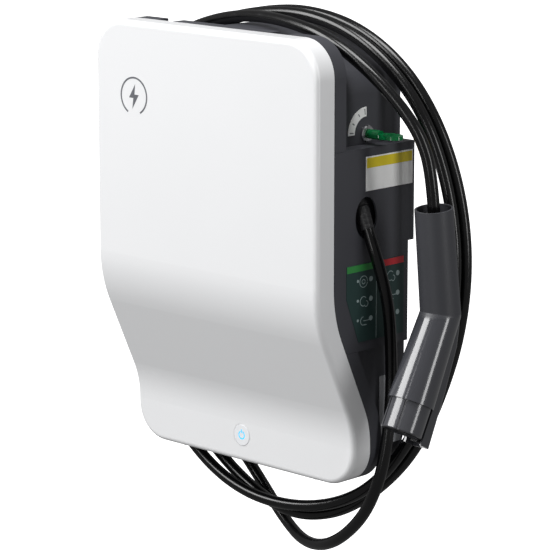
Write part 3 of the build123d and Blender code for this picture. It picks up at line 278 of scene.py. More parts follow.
@dataclass(frozen=True)
class TwoSheens:
    """The connector's shell: a matt, grained handle, and a polished head below the bend."""

    name: str
    colour: Colour
    bend_z: float
    matt: float = 0.42
    gloss: float = 0.14
    fade: float = 3 * MM
    coat: float = 0.7
    coat_roughness: float = 0.09
    grain_scale: float = 1500.0
    grain_depth: float = 0.04 * MM
    grain_loss: float = 0.9
    rub_scale: float = 30.0
    rub_range: float = 0.05
    cloud_scale: float = 12.0
    mottle: float = 0.06

    def build(self) -> bpy.types.Material:
        """Builds the material; its polish rises from 0 to 1 over the fade, downwards, at the bend.

        Returns:
            The material.
        """
        graph = Graph(self.name)
        place = graph.place()
        _, _, z = graph.axes(place)
        ends = {"From Min": self.bend_z + self.fade / 2, "From Max": self.bend_z - self.fade / 2}
        polish = graph.node("ShaderNodeMapRange", {"clamp": True}, {"Value": z, **ends})
        grain = graph.noise(place, self.grain_scale)
        rub = graph.noise(place, self.rub_scale, 4.0)
        cloud = graph.noise(place, self.cloud_scale)
        shade = graph.mix(cloud, scaled(self.colour, 1 - self.mottle), scaled(self.colour, 1 + self.mottle))
        return graph.finish(
            Base_Color=shade,
            Roughness=self.matt - (self.matt - self.gloss) * polish + self.rub_range * rub,
            Normal=graph.bump(grain * (1.0 - self.grain_loss * polish), self.grain_depth),
            Coat_Weight=self.coat * polish,
            Coat_Roughness=self.coat_roughness,
        )


@dataclass(frozen=True)
class Sheath:
    """A cable's rubber sheath: deep black, with a soft shine, dust in the grain and scuffs."""

    name: str
    colour: Colour
    roughness: float
    scuff_scale: float = 70.0
    scuff_range: float = 0.05
    scuff_start: float = 0.55
    scuff_full: float = 0.72
    scuff_share: float = 0.5
    scuff_tone: float = 1.9
    grain_scale: float = 2200.0
    grain_range: float = 0.03
    grain_share: float = 0.1
    wave_scale: float = 45.0
    wave_depth: float = 0.04 * MM

    def build(self) -> bpy.types.Material:
        """Builds the material.

        Returns:
            The material.
        """
        graph = Graph(self.name)
        place = graph.place()
        stops = [(self.scuff_start, (0.0, 0.0, 0.0)), (self.scuff_full, (1.0, 1.0, 1.0))]
        cloud = graph.noise(place, self.scuff_scale, 5.0)
        scuffs = graph.node("ShaderNodeValToRGB", {"stops": stops}, {"Fac": cloud})
        grain = graph.noise(place, self.grain_scale)
        waves = graph.noise(place, self.wave_scale, 1.0)
        scuffed = scaled(self.colour, self.scuff_tone)
        relief = grain * self.grain_share + waves * (1 - self.grain_share)
        return graph.finish(
            Base_Color=graph.mix(scuffs * self.scuff_share, self.colour, scuffed),
            Roughness=self.roughness + self.scuff_range * scuffs + self.grain_range * grain,
            Normal=graph.bump(relief, self.wave_depth),
        )


@dataclass(frozen=True)
class Metal:
    """Bare or plated metal with fine lines along one axis."""

    name: str
    colour: Colour
    roughness: float
    lines: Axis = Axis.Y
    line_depth: float = 0.02 * MM
    line_scale: float = 900.0
    line_range: float = 0.12
    cloud_scale: float = 25.0
    cloud_tone: float = 0.86

    def build(self) -> bpy.types.Material:
        """Builds the material.

        Returns:
            The material.
        """
        graph = Graph(self.name)
        place = graph.place()
        lines = graph.noise(place, self.line_scale, 3.0, self.lines.value)
        cloud = graph.noise(place, self.cloud_scale, 3.0)
        return graph.finish(
            Base_Color=graph.mix(cloud, scaled(self.colour, self.cloud_tone), self.colour),
            Metallic=1.0,
            Roughness=self.roughness - self.line_range / 2 + self.line_range * lines,
            Normal=graph.bump(lines, self.line_depth),
        )


@dataclass(frozen=True)
class ClearPlastic:
    """See-through coloured plastic, as of a key's bow."""

    name: str
    colour: Colour
    clearness: float
    haze_scale: float = 120.0
    haze_depth: float = 0.04 * MM
    haze_tone: float = 0.8
    haze_range: float = 0.08
    roughness: float = 0.1
    index: float = 1.49

    def build(self) -> bpy.types.Material:
        """Builds the material.

        Returns:
            The material.
        """
        graph = Graph(self.name)
        haze = graph.noise(graph.place(), self.haze_scale, 3.0)
        return graph.finish(
            Base_Color=graph.mix(haze, scaled(self.colour, self.haze_tone), self.colour),
            Roughness=self.roughness + self.haze_range * haze,
            Transmission_Weight=self.clearness,
            IOR=self.index,
            Normal=graph.bump(haze, self.haze_depth),
        )


@dataclass(frozen=True)
class Film:
    """Printed label film: an even colour with print dots and a satin top coat."""

    name: str
    colour: Colour
    roughness: float = 0.35
    dot_scale: float = 2600.0
    dot_tones: Spot = (0.93, 1.02)
    ripple_scale: float = 55.0
    ripple_depth: float = 0.06 * MM
    ripple_range: float = 0.08

    def build(self) -> bpy.types.Material:
        """Builds the material.

        Returns:
            The material.
        """
        graph = Graph(self.name)
        place = graph.place()
        dots = graph.node("ShaderNodeTexVoronoi", inputs={"Vector": place, "Scale": self.dot_scale})
        ripple = graph.noise(place, self.ripple_scale)
        low, high = (scaled(self.colour, tone) for tone in self.dot_tones)
        return graph.finish(
            Base_Color=graph.mix(dots, low, high),
            Roughness=self.roughness + self.ripple_range * ripple,
            Normal=graph.bump(ripple, self.ripple_depth),
        )


@dataclass(frozen=True)
class Lit:
    """A light guide that glows from behind, a little unevenly."""

    name: str
    colour: Colour
    strength: float
    cloud_scale: float = 160.0
    cloud_tone: float = 0.8
    cloud_range: float = 0.1
    roughness: float = 0.2

    def build(self) -> bpy.types.Material:
        """Builds the material.

        Returns:
            The material.
        """
        graph = Graph(self.name)
        cloud = graph.noise(graph.place(), self.cloud_scale)
        shade = graph.mix(cloud, scaled(self.colour, self.cloud_tone), self.colour)
        return graph.finish(
            Base_Color=shade,
            Roughness=self.roughness + self.cloud_range * cloud,
            Emission_Color=shade,
            Emission_Strength=self.strength,
        )


@dataclass(frozen=True)
class Circuit:
    """A lacquered board with copper tracks under its lacquer."""

    name: str
    colour: Colour
    cell_scale: float = 240.0
    track_edge: float = 0.42
    track_depth: float = 0.03 * MM
    track_share: float = 0.8
    track_tone: float = 1.8
    track_range: float = 0.1
    roughness: float = 0.32

    def build(self) -> bpy.types.Material:
        """Builds the material; its tracks are the rims of square cells.

        Returns:
            The material.
        """
        graph = Graph(self.name)
        cell = {"Vector": graph.place(), "Scale": self.cell_scale}
        across = graph.node("ShaderNodeTexVoronoi", {"distance": "CHEBYCHEV"}, cell)
        track = (across > self.track_edge) * self.track_share
        return graph.finish(
            Base_Color=graph.mix(track, self.colour, scaled(self.colour, self.track_tone)),
            Roughness=self.roughness + self.track_range * track,
            Normal=graph.bump(track, self.track_depth),
        )


def dress(material: bpy.types.Material, *names: str) -> None:
    """Gives CAD nodes a material.

    Args:
        material: The material.
        names: The nodes.
    """
    for name in names:
        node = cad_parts[name]
        node.data.materials.clear()
        node.data.materials.append(material)


def piece_of(
    name: str,
    mesh: bpy.types.Mesh,
    material: bpy.types.Material,
    body: str,
) -> bpy.types.Object:
    """Makes an object of a mesh, dresses it, and lets it ride on a body.

    Args:
        name: The piece's name.
        mesh: Its mesh, in place.
        material: Its material.
        body: The body it rides on.

    Returns:
        The piece.
    """
    piece = bpy.data.objects.new(name, mesh)
    bpy.context.scene.collection.objects.link(piece)
    mesh.materials.append(material)
    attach(piece, body)
    log.info("%s: %d faces on %s", name, len(mesh.polygons), body)
    return piece


def closed_mesh(
    name: str,
    points: np.ndarray,
    faces: Sequence[Sequence[int]],
    smooth: bool,
) -> bpy.types.Mesh:
    """Makes a mesh whose faces point outwards.

    Args:
        name: The mesh's name.
        points: One row for each vertex.
        faces: Vertex numbers of each face.
        smooth: Whether the faces are shaded smooth.

    Returns:
        The mesh.
    """
    mesh = bpy.data.meshes.new(name)
    mesh.from_pydata(points.tolist(), [], [list(face) for face in faces])
    work = bmesh.new()
    work.from_mesh(mesh)
    bmesh.ops.remove_doubles(work, verts=work.verts, dist=1e-7)
    bmesh.ops.recalc_face_normals(work, faces=work.faces)
    work.to_mesh(mesh)
    work.free()
    mesh.polygons.foreach_set("use_smooth", [smooth] * len(mesh.polygons))
    mesh.update()
    return mesh


def ring_grid(rows: int, columns: int) -> np.ndarray:
    """Quads of a tube of points: each ring is joined to the next one and closed on itself.

    Args:
        rows: How many rings.
        columns: Points on each ring.

    Returns:
        Four vertex numbers for each quad.
    """
    row, column = np.meshgrid(np.arange(rows - 1), np.arange(columns), indexing="ij")
    onward = (column + 1) % columns
    near = row * columns
    far = near + columns
    return np.stack((near + column, near + onward, far + onward, far + column), axis=-1).reshape(-1, 4)


def tube(name: str, line: np.ndarray, radii: np.ndarray, columns: int = 40) -> bpy.types.Mesh:
    """A tube along a line, point = line + r (cos a N + sin a B), where N and B stay square to the line.

    Args:
        name: The mesh's name.
        line: Points of the centreline.
        radii: A radius at each point.
        columns: Points round the tube.

    Returns:
        The mesh, closed at both ends.
    """
    tangent = np.gradient(line, axis=0)
    tangent /= np.linalg.norm(tangent, axis=1)[:, None]
    guide = np.array([0.0, 1.0, 0.0])
    normal = np.cross(tangent, guide)
    normal /= np.linalg.norm(normal, axis=1)[:, None]
    binormal = np.cross(tangent, normal)
    angle = np.linspace(0, 2 * np.pi, columns, endpoint=False)[None, :, None]
    around = np.cos(angle) * normal[:, None] + np.sin(angle) * binormal[:, None]
    points = (line[:, None] + radii[:, None, None] * around).reshape(-1, 3)
    last = len(points) - columns
    ends = [list(range(columns))[::-1], list(range(last, last + columns))]
    return closed_mesh(name, points, [*ring_grid(len(line), columns).tolist(), *ends], True)


def plate(
    name: str,
    outline: np.ndarray,
    origin: Point,
    across: Point,
    up: Point,
    depth: float,
) -> bpy.types.Mesh:
    """A thin plate from p = origin + u across + v up to p + depth (across x up).

    Args:
        name: The mesh's name.
        outline: Points (u, v) in metres, in order.
        origin: The outline's origin.
        across: Direction of u.
        up: Direction of v.
        depth: Thickness, towards across x up.

    Returns:
        The mesh.
    """
    u, v = np.array(across, float), np.array(up, float)
    low = np.array(origin, float) + outline[:, :1] * u + outline[:, 1:] * v
    high = low + depth * np.cross(u, v)
    count = len(outline)
    ends = [list(range(count))[::-1], list(range(count, 2 * count))]
    return closed_mesh(name, np.vstack((low, high)), [*ring_grid(2, count).tolist(), *ends], False)


def rounded(width: float, height: float, radius: float, centre: Spot) -> np.ndarray:
    """Outline of a rectangle whose corners are quarter circles, 8 steps each.

    Args:
        width: Its width.
        height: Its height.
        radius: Radius of its corners.
        centre: Its middle.

    Returns:
        Its points, in order.
    """
    turns = np.linspace(0, np.pi / 2, 9)
    corners = [(1, 1, 0.0), (-1, 1, 0.5), (-1, -1, 1.0), (1, -1, 1.5)]
    parts = []
    for sx, sy, start in corners:
        x = sx * (width / 2 - radius) + radius * np.cos(turns + start * np.pi)
        y = sy * (height / 2 - radius) + radius * np.sin(turns + start * np.pi)
        parts.append(np.column_stack((x, y)))
    return np.vstack(parts) + np.array(centre)


def arc_band(
    radius: float,
    width: float,
    start: float,
    end: float,
    centre: Spot = (0.0, 0.0),
) -> np.ndarray:
    """Outline of a band along an arc, with a point every 6 degrees or so on each edge, and 8 at least.

    Args:
        radius: The arc's radius.
        width: The band's width.
        start: First angle, in degrees.
        end: Last angle, in degrees.
        centre: The arc's centre.

    Returns:
        Its points, in order.
    """
    turns = np.radians(np.linspace(start, end, max(8, int(abs(end - start) / 6))))
    ray = np.column_stack((np.cos(turns), np.sin(turns)))
    outer = (radius + width / 2) * ray
    inner = (radius - width / 2) * ray
    return np.vstack((outer, inner[::-1])) + np.array(centre)


@dataclass
class Finishes:
    """Every material of the station, made once."""

    cover: bpy.types.Material = field(init=False)
    housing: bpy.types.Material = field(init=False)
    seal: bpy.types.Material = field(init=False)
    fitting: bpy.types.Material = field(init=False)
    sheath: bpy.types.Material = field(init=False)
    shell: bpy.types.Material = field(init=False)
    nose: bpy.types.Material = field(init=False)
    insert: bpy.types.Material = field(init=False)
    silver: bpy.types.Material = field(init=False)
    steel: bpy.types.Material = field(init=False)
    chrome: bpy.types.Material = field(init=False)
    key: bpy.types.Material = field(init=False)
    cap: bpy.types.Material = field(init=False)
    glow: bpy.types.Material = field(init=False)
    board: bpy.types.Material = field(init=False)
    module: bpy.types.Material = field(init=False)
    print_grey: bpy.types.Material = field(init=False)
    white_film: bpy.types.Material = field(init=False)
    grey_film: bpy.types.Material = field(init=False)
    yellow_film: bpy.types.Material = field(init=False)
    panel_film: bpy.types.Material = field(init=False)
    green_film: bpy.types.Material = field(init=False)
    red_film: bpy.types.Material = field(init=False)
    line_film: bpy.types.Material = field(init=False)

    def __post_init__(self) -> None:
        """Builds each material."""
        self.cover = Moulding(
            "cover white", (0.82, 0.825, 0.835), 0.3, 0.01 * MM, grain_scale=700.0, coat=0.35, mottle=0.01
        ).build()
        self.housing = Moulding(
            "housing charcoal", (0.046, 0.047, 0.056), 0.5, 0.06 * MM, grain_scale=1300.0, mottle=0.1
        ).build()
        self.seal = Moulding("seal black", (0.012, 0.012, 0.013), 0.7, 0.03 * MM).build()
        self.fitting = Moulding("gland black", (0.02, 0.02, 0.022), 0.42, 0.03 * MM).build()
        self.sheath = Sheath("sheath black", (0.0025, 0.0025, 0.0028), 0.2).build()
        self.shell = TwoSheens("connector shell", (0.045, 0.046, 0.053), bend_z=-43.4 * MM).build()
        self.nose = Moulding(
            "nose gloss", (0.055, 0.056, 0.063), 0.16, 0.01 * MM, grain_scale=900.0, coat=0.5
        ).build()
        self.insert = Moulding("insert black", (0.02, 0.02, 0.022), 0.45, 0.03 * MM).build()
        self.silver = Metal("contact silver", (0.42, 0.41, 0.39), 0.48).build()
        self.steel = Metal("zinc plate", (0.62, 0.63, 0.64), 0.38, lines=Axis.X).build()
        self.chrome = Metal("lock chrome", (0.72, 0.72, 0.74), 0.2, line_depth=0.008 * MM).build()
        self.key = ClearPlastic("key green", (0.005, 0.24, 0.07), 0.35).build()
        self.cap = Moulding(
            "button white", (0.84, 0.85, 0.87), 0.28, 0.01 * MM, grain_scale=700.0, coat=0.3, mottle=0.01
        ).build()
        self.glow = Lit("sign blue", (0.02, 0.42, 0.75), 1.1).build()
        self.board = Circuit("board green", (0.02, 0.14, 0.06)).build()
        self.module = Moulding("module grey", (0.42, 0.43, 0.45), 0.45, 0.03 * MM).build()
        self.print_grey = Film("print grey", (0.13, 0.135, 0.15), 0.4).build()
        self.white_film = Film("film white", (0.9, 0.9, 0.89)).build()
        self.grey_film = Film("film grey", (0.42, 0.43, 0.45)).build()
        self.yellow_film = Film("film yellow", (0.75, 0.6, 0.02)).build()
        self.panel_film = Film("film dark green", (0.012, 0.04, 0.037), 0.5).build()
        self.green_film = Film("film green", (0.04, 0.26, 0.06)).build()
        self.red_film = Film("film red", (0.55, 0.02, 0.03)).build()
        self.line_film = Film("film pale line", (0.32, 0.4, 0.4)).build()


# The cable's route: control points, from the gland to the connector
ROUTE_MM = [
    (156, -91, 60), (172, -94, 32), (180, -87, -2), (180, -73, -44), (176, -64, -90),
    (175, -62, -140), (175, -67, -190), (168, -73, -240), (142, -72, -286), (96, -68, -324),
    (40, -50, -339), (-14, -28, -327), (-60, -19, -292), (-104, -19, -249), (-152, -18, -203),
    (-194, -18, -143), (-224, -20, -71), (-236, -21, 5), (-228, -24, 80), (-200, -28, 150),
    (-158, -32, 198), (-100, -34, 230), (-34, -36, 246.5), (34, -36, 251.5), (104, -33, 237),
    (163, -29, 200), (204, -24, 146), (229, -18, 78), (238, -15, 4), (230, -15, -72),
    (206, -15, -142), (172, -18, -213), (124, -25, -266), (68, -33, -303), (4, -40, -314),
    (-58, -42, -292), (-114, -43, -256), (-166, -43, -208), (-206, -42, -147), (-232, -42, -76),
    (-240, -42, 0), (-232, -43, 76), (-203, -45, 146), (-158, -47, 198), (-100, -49, 229.5),
    (-34, -50, 246.5), (36, -50, 250), (102, -48, 236), (158, -44, 201), (200, -39, 152),
    (226, -34, 86), (237, -32, 16), (232, -30, -56), (212, -30, -126), (180, -33, -194),
    (134, -39, -254), (82, -46, -286), (18, -53, -300), (-48, -57, -296), (-106, -58, -273),
    (-158, -58, -231), (-198, -58, -176), (-222, -58, -106), (-230, -59, -32), (-226, -62, 44),
    (-207, -66, 115), (-174, -71, 180), (-122, -77, 220), (-64, -82, 239), (-4, -88, 248.5),
    (60, -98, 247), (123, -105, 236), (174, -101, 207), (211, -92, 173), (233, -86, 143),
    (244, -81.3, 107.6), (244, -76.3, 62.8),
]


@dataclass
class Cable:
    """The charging cable, wound round the housing, with the sleeve where it leaves the gland."""

    diameter: float = 13 * MM
    length: float = 4.93
    steps: int = 10
    bevel_steps: int = 7
    sleeve_start: float = 0.3 * MM
    sleeve_length: float = 24 * MM
    sleeve_wide: float = 8.8 * MM
    sleeve_narrow: float = 7.1 * MM
    sleeve_rings: int = 60
    ribs: int = 4
    rib_depth: float = 0.25 * MM
    rib_edge: float = 0.3
    on_cable: tuple[str, ...] = (
        "connector_shell_left",
        "connector_shell_right",
        "connector_boot",
        "connector_nose",
        "contact_insert",
        "connector_contacts",
        "connector_latch",
        "latch_pin",
    )

    def build(self, finishes: Finishes) -> None:
        """Args:
            finishes: The materials.
        """
        route = np.array(ROUTE_MM, float) * MM
        sheath = self.curve(route)
        line = self.centreline(sheath)
        log.info("cable: %.3f m", np.linalg.norm(np.diff(line, axis=0), axis=1).sum())
        sheath.data.bevel_depth = self.diameter / 2
        sheath.data.bevel_resolution = self.bevel_steps
        sheath.data.use_fill_caps = True
        sheath.data.materials.append(finishes.sheath)
        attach(sheath, STATION)
        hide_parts("charging_cable")
        sleeve = self.sleeve(line, finishes)

    def curve(self, route: np.ndarray) -> bpy.types.Object:
        """Makes the smooth curve whose control points are the route's.

        Args:
            route: The points, in metres.

        Returns:
            The curve's object, with no thickness yet.
        """
        curve = bpy.data.curves.new("cable_sheath", "CURVE")
        curve.dimensions = "3D"
        spline = curve.splines.new("NURBS")
        spline.points.add(len(route) - 1)
        spline.points.foreach_set("co", np.column_stack((route, np.ones(len(route)))).ravel())
        spline.order_u = 3
        spline.use_endpoint_u = True
        spline.resolution_u = self.steps
        sheath = bpy.data.objects.new("cable_sheath", curve)
        bpy.context.scene.collection.objects.link(sheath)
        return sheath

    def centreline(self, sheath: bpy.types.Object) -> np.ndarray:
        """Reads points along a curve that has no thickness.

        Args:
            sheath: The curve's object.

        Returns:
            The points, in metres.
        """
        bpy.context.view_layer.update()
        mesh = bpy.data.meshes.new_from_object(sheath)
        line = np.zeros(len(mesh.vertices) * 3)
        mesh.vertices.foreach_get("co", line)
        return line.reshape(-1, 3)

    def sleeve(self, line: np.ndarray, finishes: Finishes) -> bpy.types.Object:
        """Builds the tapered sleeve: its radius falls from wide to narrow, with shallow ribs along it.

        Args:
            line: The cable's centreline.
            finishes: The materials.

        Returns:
            The sleeve.
        """
        along = np.concatenate(([0.0], np.cumsum(np.linalg.norm(np.diff(line, axis=0), axis=1))))
        steps = np.linspace(self.sleeve_start, self.sleeve_length, self.sleeve_rings)
        path = np.column_stack([np.interp(steps, along, line[:, i]) for i in range(3)])
        share = steps / self.sleeve_length
        radii = self.sleeve_wide + (self.sleeve_narrow - self.sleeve_wide) * share
        radii -= self.rib_depth * (np.sin(share * 2 * np.pi * self.ribs) > self.rib_edge)
        mesh = tube("cable_sleeve", path, radii)
        return piece_of("cable_sleeve", mesh, finishes.fitting, STATION)


@dataclass
class Cover:
    """The white front moulding, its seal, its screws and the sign printed near its top corner."""

    sign_x: float = -105 * MM
    sign_z: float = level(399)
    sign_size: float = 42 * MM
    print_depth: float = 0.12 * MM
    print_sink: float = 0.02 * MM
    ring_radius: float = 0.95
    ring_line: float = 0.09
    ring_span: Spot = (-62, 242)
    bolt: tuple[Spot, ...] = (
        (0.1, 0.62),
        (-0.36, -0.1),
        (-0.04, -0.1),
        (-0.12, -0.66),
        (0.36, 0.08),
        (0.04, 0.08),
    )

    def build(self, finishes: Finishes) -> None:
        """Dresses the cover and prints its sign, whose ring and bolt are shares of half its size.

        Args:
            finishes: The materials.
        """
        dress(finishes.cover, "front_cover", "button_bezel")
        dress(finishes.seal, "cover_gasket")
        dress(finishes.steel, "cover_screws")
        half = self.sign_size / 2
        ring = arc_band(half * self.ring_radius, half * self.ring_line, *self.ring_span)
        origin = (self.sign_x, UPPER_FRONT - self.print_sink, self.sign_z)
        for name, outline in (("sign_ring", ring), ("sign_bolt", half * np.array(self.bolt))):
            mesh = plate(name, outline, origin, (1, 0, 0), (0, 0, 1), self.print_depth)
            piece_of(name, mesh, finishes.print_grey, STATION)


@dataclass
class Housing:
    """The dark housing, its side cover, and the fittings on and in it."""

    def build(self, finishes: Finishes) -> None:
        """Dresses the housing and what it carries.

        Args:
            finishes: The materials.
        """
        dress(finishes.housing, "housing", "side_cover")
        dress(finishes.fitting, "cable_gland", "gland_nut", "supply_gland", "supply_nut", "blanking_plug")
        dress(finishes.steel, "wall_plate", "fixing_screws", "din_rail", "board_pillars")
        dress(finishes.module, "residual_breaker", "contactor", "power_supply", "terminal_block")
        dress(finishes.insert, "breaker_lever", "board_relays", "current_sensor", "lock_switch")
        dress(finishes.board, "control_board", "button_board")


@dataclass
class StopButton:
    """The round button with its lit sign."""

    def build(self, finishes: Finishes) -> None:
        """Dresses the button.

        Args:
            finishes: The materials.
        """
        dress(finishes.cap, "stop_button")
        dress(finishes.glow, "button_symbol")
        dress(finishes.steel, "button_switch", "button_spring")


@dataclass
class KeySwitch:
    """The key switch: chrome barrel and plug, green key, pale quarter scale with ticks."""

    y: float = -71.6 * MM
    z: float = level(375)
    face_x: float = 145.65 * MM
    scale_radius: float = 23 * MM
    tick_angles: tuple[float, ...] = (96.0, 120.0, 150.0, 174.0)
    tick_lengths: tuple[float, ...] = (6 * MM, 3.5 * MM, 3.5 * MM, 6 * MM)
    tick_half: float = 1.4
    print_depth: float = 0.1 * MM

    def build(self, finishes: Finishes) -> None:
        """Dresses the switch and marks its scale; angles are in degrees.

        Args:
            finishes: The materials.
        """
        dress(finishes.chrome, "lock_body", "lock_plug")
        dress(finishes.key, "key")
        dress(finishes.white_film, "lock_scale")
        origin = (self.face_x, self.y, self.z)
        for step, (angle, length) in enumerate(zip(self.tick_angles, self.tick_lengths)):
            name = f"scale_tick_{step}"
            band = arc_band(self.scale_radius, length, angle - self.tick_half, angle + self.tick_half)
            mesh = plate(name, band, origin, (0, 1, 0), (0, 0, 1), self.print_depth)
            piece_of(name, mesh, finishes.print_grey, STATION)


@dataclass
class Connector:
    """The hand-held connector."""

    def build(self, finishes: Finishes) -> None:
        """Dresses the connector.

        Args:
            finishes: The materials.
        """
        dress(finishes.shell, "connector_shell_left", "connector_shell_right")
        dress(finishes.nose, "connector_nose")
        dress(finishes.insert, "contact_insert", "connector_latch")
        dress(finishes.silver, "connector_contacts")
        dress(finishes.steel, "latch_pin")
        dress(finishes.seal, "connector_boot")


class Drawing(Enum):
    """The small drawings on the panel."""

    SOCKET = 0
    PLATES = 1
    HOOK = 2


@dataclass
class Labels:
    """The films on the right side: a two-tone sticker, a pictogram panel and a bare plate.

    Each strip is its two Y values and its two heights. Each dot is its distance in Y from the
    drawing's middle, and its size; its corner is a share of that size. These, the rows, the columns
    and the stroke are in millimetres.
    """

    x: float = SIDE_X + 0.55 * MM
    depth: float = 0.12 * MM
    sticker_strip: tuple[Spot, Spot] = ((-93, -22.5), (343, 353.6))
    green_strip: tuple[Spot, Spot] = ((-122.4, -81), (235.6, 242.6))
    red_strip: tuple[Spot, Spot] = ((-72, -34.4), (235.6, 242.6))
    divider: tuple[Spot, Spot] = ((-77.4, -76.8), (161, 241.5))
    rows: tuple[float, ...] = (224.0, 203.0, 182.0)
    columns: tuple[float, ...] = (-97.0, -55.0)
    dots: tuple[Spot, ...] = ((-8.7, 3.2), (11.5, 5.6))
    dot_rise: float = 1.5
    dot_corner: float = 0.499
    stroke: float = 0.7
    made: int = 0

    def patch(self, outline: np.ndarray, material: bpy.types.Material) -> None:
        """Adds one printed patch.

        Args:
            outline: Points (Y, Z) in metres.
            material: Its film.
        """
        name = f"label_print_{self.made}"
        self.made += 1
        mesh = plate(name, outline, (self.x, 0, 0), (0, 1, 0), (0, 0, 1), self.depth)
        piece_of(name, mesh, material, STATION)

    def box(self, y: Spot, heights: Spot, radius: float = 0.3) -> np.ndarray:
        """Outline of a patch with round corners.

        Args:
            y: Its two Y values, in mm.
            heights: Its two heights, in mm.
            radius: Radius of its corners, in mm.

        Returns:
            Points (Y, Z) in metres.
        """
        centre = (sum(y) / 2 * MM, (level(heights[0]) + level(heights[1])) / 2)
        return rounded((y[1] - y[0]) * MM, (heights[1] - heights[0]) * MM, radius * MM, centre)

    def build(self, finishes: Finishes) -> None:
        """Dresses the labels and prints their patches.

        Args:
            finishes: The materials.
        """
        dress(finishes.white_film, "side_sticker")
        dress(finishes.grey_film, "rating_plate")
        dress(finishes.panel_film, "instruction_label")
        self.patch(self.box(*self.sticker_strip), finishes.yellow_film)
        self.patch(self.box(*self.green_strip), finishes.green_film)
        self.patch(self.box(*self.red_strip), finishes.red_film)
        self.patch(self.box(*self.divider, 0.05), finishes.line_film)
        for row, height in enumerate(self.rows):
            for side, y in enumerate(self.columns):
                outlines = [*self.drawing(Drawing((row + side) % 3), y, height), *self.step_dots(y, height)]
                for outline in outlines:
                    self.patch(outline, finishes.line_film)

    def step_dots(self, y: float, height: float) -> list[np.ndarray]:
        """The round dots beside a drawing.

        Args:
            y: The drawing's middle, in mm.
            height: The drawing's height, in mm.

        Returns:
            Their outlines.
        """
        z = level(height + self.dot_rise)
        outlines = []
        for aside, size in self.dots:
            across = size * MM
            outlines.append(rounded(across, across, self.dot_corner * across, ((y + aside) * MM, z)))
        return outlines

    def arc(self, radius: float, start: float, end: float, y: float, height: float) -> np.ndarray:
        """Outline of a stroke along an arc.

        Args:
            radius: Its radius, in mm.
            start: Where it starts, in degrees.
            end: Where it ends, in degrees.
            y: Its centre, in mm.
            height: Its centre's height, in mm.

        Returns:
            Points (Y, Z) in metres.
        """
        return arc_band(radius * MM, self.stroke * MM, start, end, (y * MM, level(height)))

    def drawing(self, kind: Drawing, y: float, height: float) -> list[np.ndarray]:
        """A small drawing: a socket's rings, two plates, or a cable's hook.

        Args:
            kind: Which drawing.
            y: Its middle, in mm.
            height: Its height, in mm.

        Returns:
            Its outlines.
        """
        if kind is Drawing.SOCKET:
            return [self.arc(6, 0, 352, y, height), self.arc(2.4, 0, 350, y, height)]
        if kind is Drawing.PLATES:
            return [self.arc(5, 40, 300, y, height), self.arc(3, -120, 90, y + 4, height - 3)]
        bars = [self.box((y, y + 9), (height - 0.4, height + 0.4), 0.2)]
        bars.append(self.box((y, y + 5), (height - 4.8, height - 4), 0.2))
        return [self.arc(4.4, 90, 270, y, height), *bars]


@dataclass(frozen=True)
class SoftBox:
    """One rectangular lamp that points at the station."""

    name: str
    place: Point
    width: float
    height: float
    watts: float


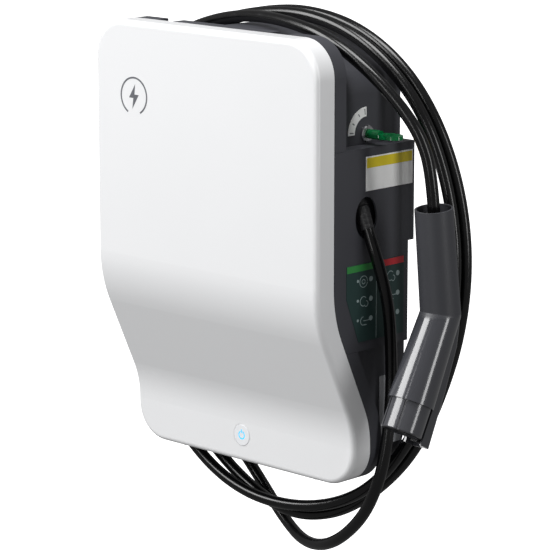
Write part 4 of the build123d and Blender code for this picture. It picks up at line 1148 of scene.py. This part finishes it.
@dataclass
class Studio:
    """The white bowl, the soft lights and the camera at the picture's angle."""

    azimuth: float = 44.0
    elevation: float = 12.0
    distance: float = 3.0
    sight: float = 40.0
    pixels_per_metre: float = 927.0
    picture: int = 560
    sensor: float = 36.0
    target: Point = (0.0325, -0.084, -0.036)
    floor_z: float = -2.6
    floor_rings: tuple[float, ...] = (0.4, 2.0)
    floor_radius: float = 4.0
    bend_radius: float = 1.5
    bend_steps: int = 16
    turn_steps: int = 96
    wall_top: float = 4.0
    bowl_glow: float = 1.06
    bowl_roughness: float = 0.9
    bowl_cloud: float = 1.5
    bowl_tones: tuple[Colour, Colour] = ((0.97, 0.97, 0.97), (1.0, 1.0, 1.0))
    world_strength: float = 0.19
    lamps: tuple[SoftBox, ...] = (
        SoftBox("key", (-1.9, -3.2, 2.7), 3.2, 2.8, 242.0),
        SoftBox("strip_front", (0.75, -2.6, 0.5), 0.2, 2.4, 10.0),
        SoftBox("strip_right", (2.7, 0.2, 0.6), 0.5, 2.2, 21.0),
        SoftBox("top", (0.4, -0.3, 2.6), 1.6, 1.0, 48.9),
    )

    def build(self) -> None:
        """Builds the bowl, the world, the lamps and the camera."""
        self.bowl()
        self.world()
        for lamp in self.lamps:
            self.lamp(lamp)
        self.camera()

    def bowl(self) -> None:
        """A round floor that curves up into a wall, turned about Z.

        In the curve, r = R + b sin a and z = floor + b (1 - cos a). Only the camera and clear
        plastic see the bowl, so it sends no light under the station.
        """
        bend = np.linspace(0, np.pi / 2, self.bend_steps)
        curve = self.floor_radius + self.bend_radius * np.sin(bend)
        rise = self.bend_radius * (1 - np.cos(bend))
        flat = np.zeros(len(self.floor_rings))
        radii = np.concatenate((self.floor_rings, curve, curve[-1:]))
        heights = np.append(np.concatenate((flat, rise)) + self.floor_z, self.wall_top)
        turn = np.linspace(0, 2 * np.pi, self.turn_steps, endpoint=False)
        x = np.outer(radii, np.cos(turn))
        y = np.outer(radii, np.sin(turn))
        z = np.outer(heights, np.ones_like(turn))
        points = np.stack((x, y, z), axis=-1).reshape(-1, 3)
        faces = [list(range(len(turn)))[::-1], *ring_grid(len(radii), len(turn)).tolist()]
        mesh = bpy.data.meshes.new("bowl")
        mesh.from_pydata(points.tolist(), [], faces)
        mesh.polygons.foreach_set("use_smooth", [True] * len(mesh.polygons))
        mesh.materials.append(self.bowl_paint())
        floor = bpy.data.objects.new("bowl", mesh)
        floor.visible_diffuse = False
        floor.visible_glossy = False
        floor.visible_shadow = False
        bpy.context.scene.collection.objects.link(floor)

    def bowl_paint(self) -> bpy.types.Material:
        """White paint that glows.

        Returns:
            The material.
        """
        graph = Graph("bowl white")
        tone = graph.mix(graph.noise(graph.place(), self.bowl_cloud), *self.bowl_tones)
        return graph.finish(
            Base_Color=tone,
            Roughness=self.bowl_roughness,
            Emission_Color=tone,
            Emission_Strength=self.bowl_glow,
        )

    def world(self) -> None:
        """Even white light from all round."""
        world = bpy.data.worlds.new("studio")
        bpy.context.scene.world = world
        world.use_nodes = True
        background = world.node_tree.nodes["Background"]
        background.inputs["Color"].default_value = (1.0, 1.0, 1.0, 1.0)
        background.inputs["Strength"].default_value = self.world_strength

    def lamp(self, box: SoftBox) -> None:
        """Adds a lamp that points at the station.

        Args:
            box: Its place, size and power.
        """
        light = bpy.data.lights.new(box.name, "AREA")
        light.shape = "RECTANGLE"
        light.size = box.width
        light.size_y = box.height
        light.energy = box.watts
        lamp = bpy.data.objects.new(box.name, light)
        lamp.location = box.place
        lamp.rotation_euler = (Vector(self.target) - Vector(box.place)).to_track_quat("-Z", "Y").to_euler()
        bpy.context.scene.collection.objects.link(lamp)

    def camera(self) -> None:
        """Places the camera so that the target is at the picture's middle, at the picture's scale."""
        turn, lift = math.radians(self.azimuth), math.radians(self.elevation)
        back = Vector((math.sin(turn) * math.cos(lift), -math.cos(turn) * math.cos(lift), math.sin(lift)))
        data = bpy.data.cameras.new("camera")
        data.sensor_width = self.sensor
        data.lens = self.pixels_per_metre * self.distance * self.sensor / self.picture
        data.clip_end = self.sight
        camera = bpy.data.objects.new("camera", data)
        camera.location = Vector(self.target) + back * self.distance
        camera.rotation_euler = (-back).to_track_quat("-Z", "Y").to_euler()
        bpy.context.scene.collection.objects.link(camera)
        bpy.context.scene.camera = camera
        bpy.context.scene.view_settings.view_transform = "Standard"


def main() -> None:
    """Builds the station's pieces in order."""
    logging.basicConfig(level=logging.INFO, format="%(name)s %(message)s")
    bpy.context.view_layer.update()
    finishes = Finishes()
    builders = (Cable(), Cover(), Housing(), StopButton(), KeySwitch(), Connector(), Labels())
    for builder in builders:
        builder.build(finishes)
        log.info("%s done", type(builder).__name__)
    Studio().build()


if __name__ == "__main__":
    main()
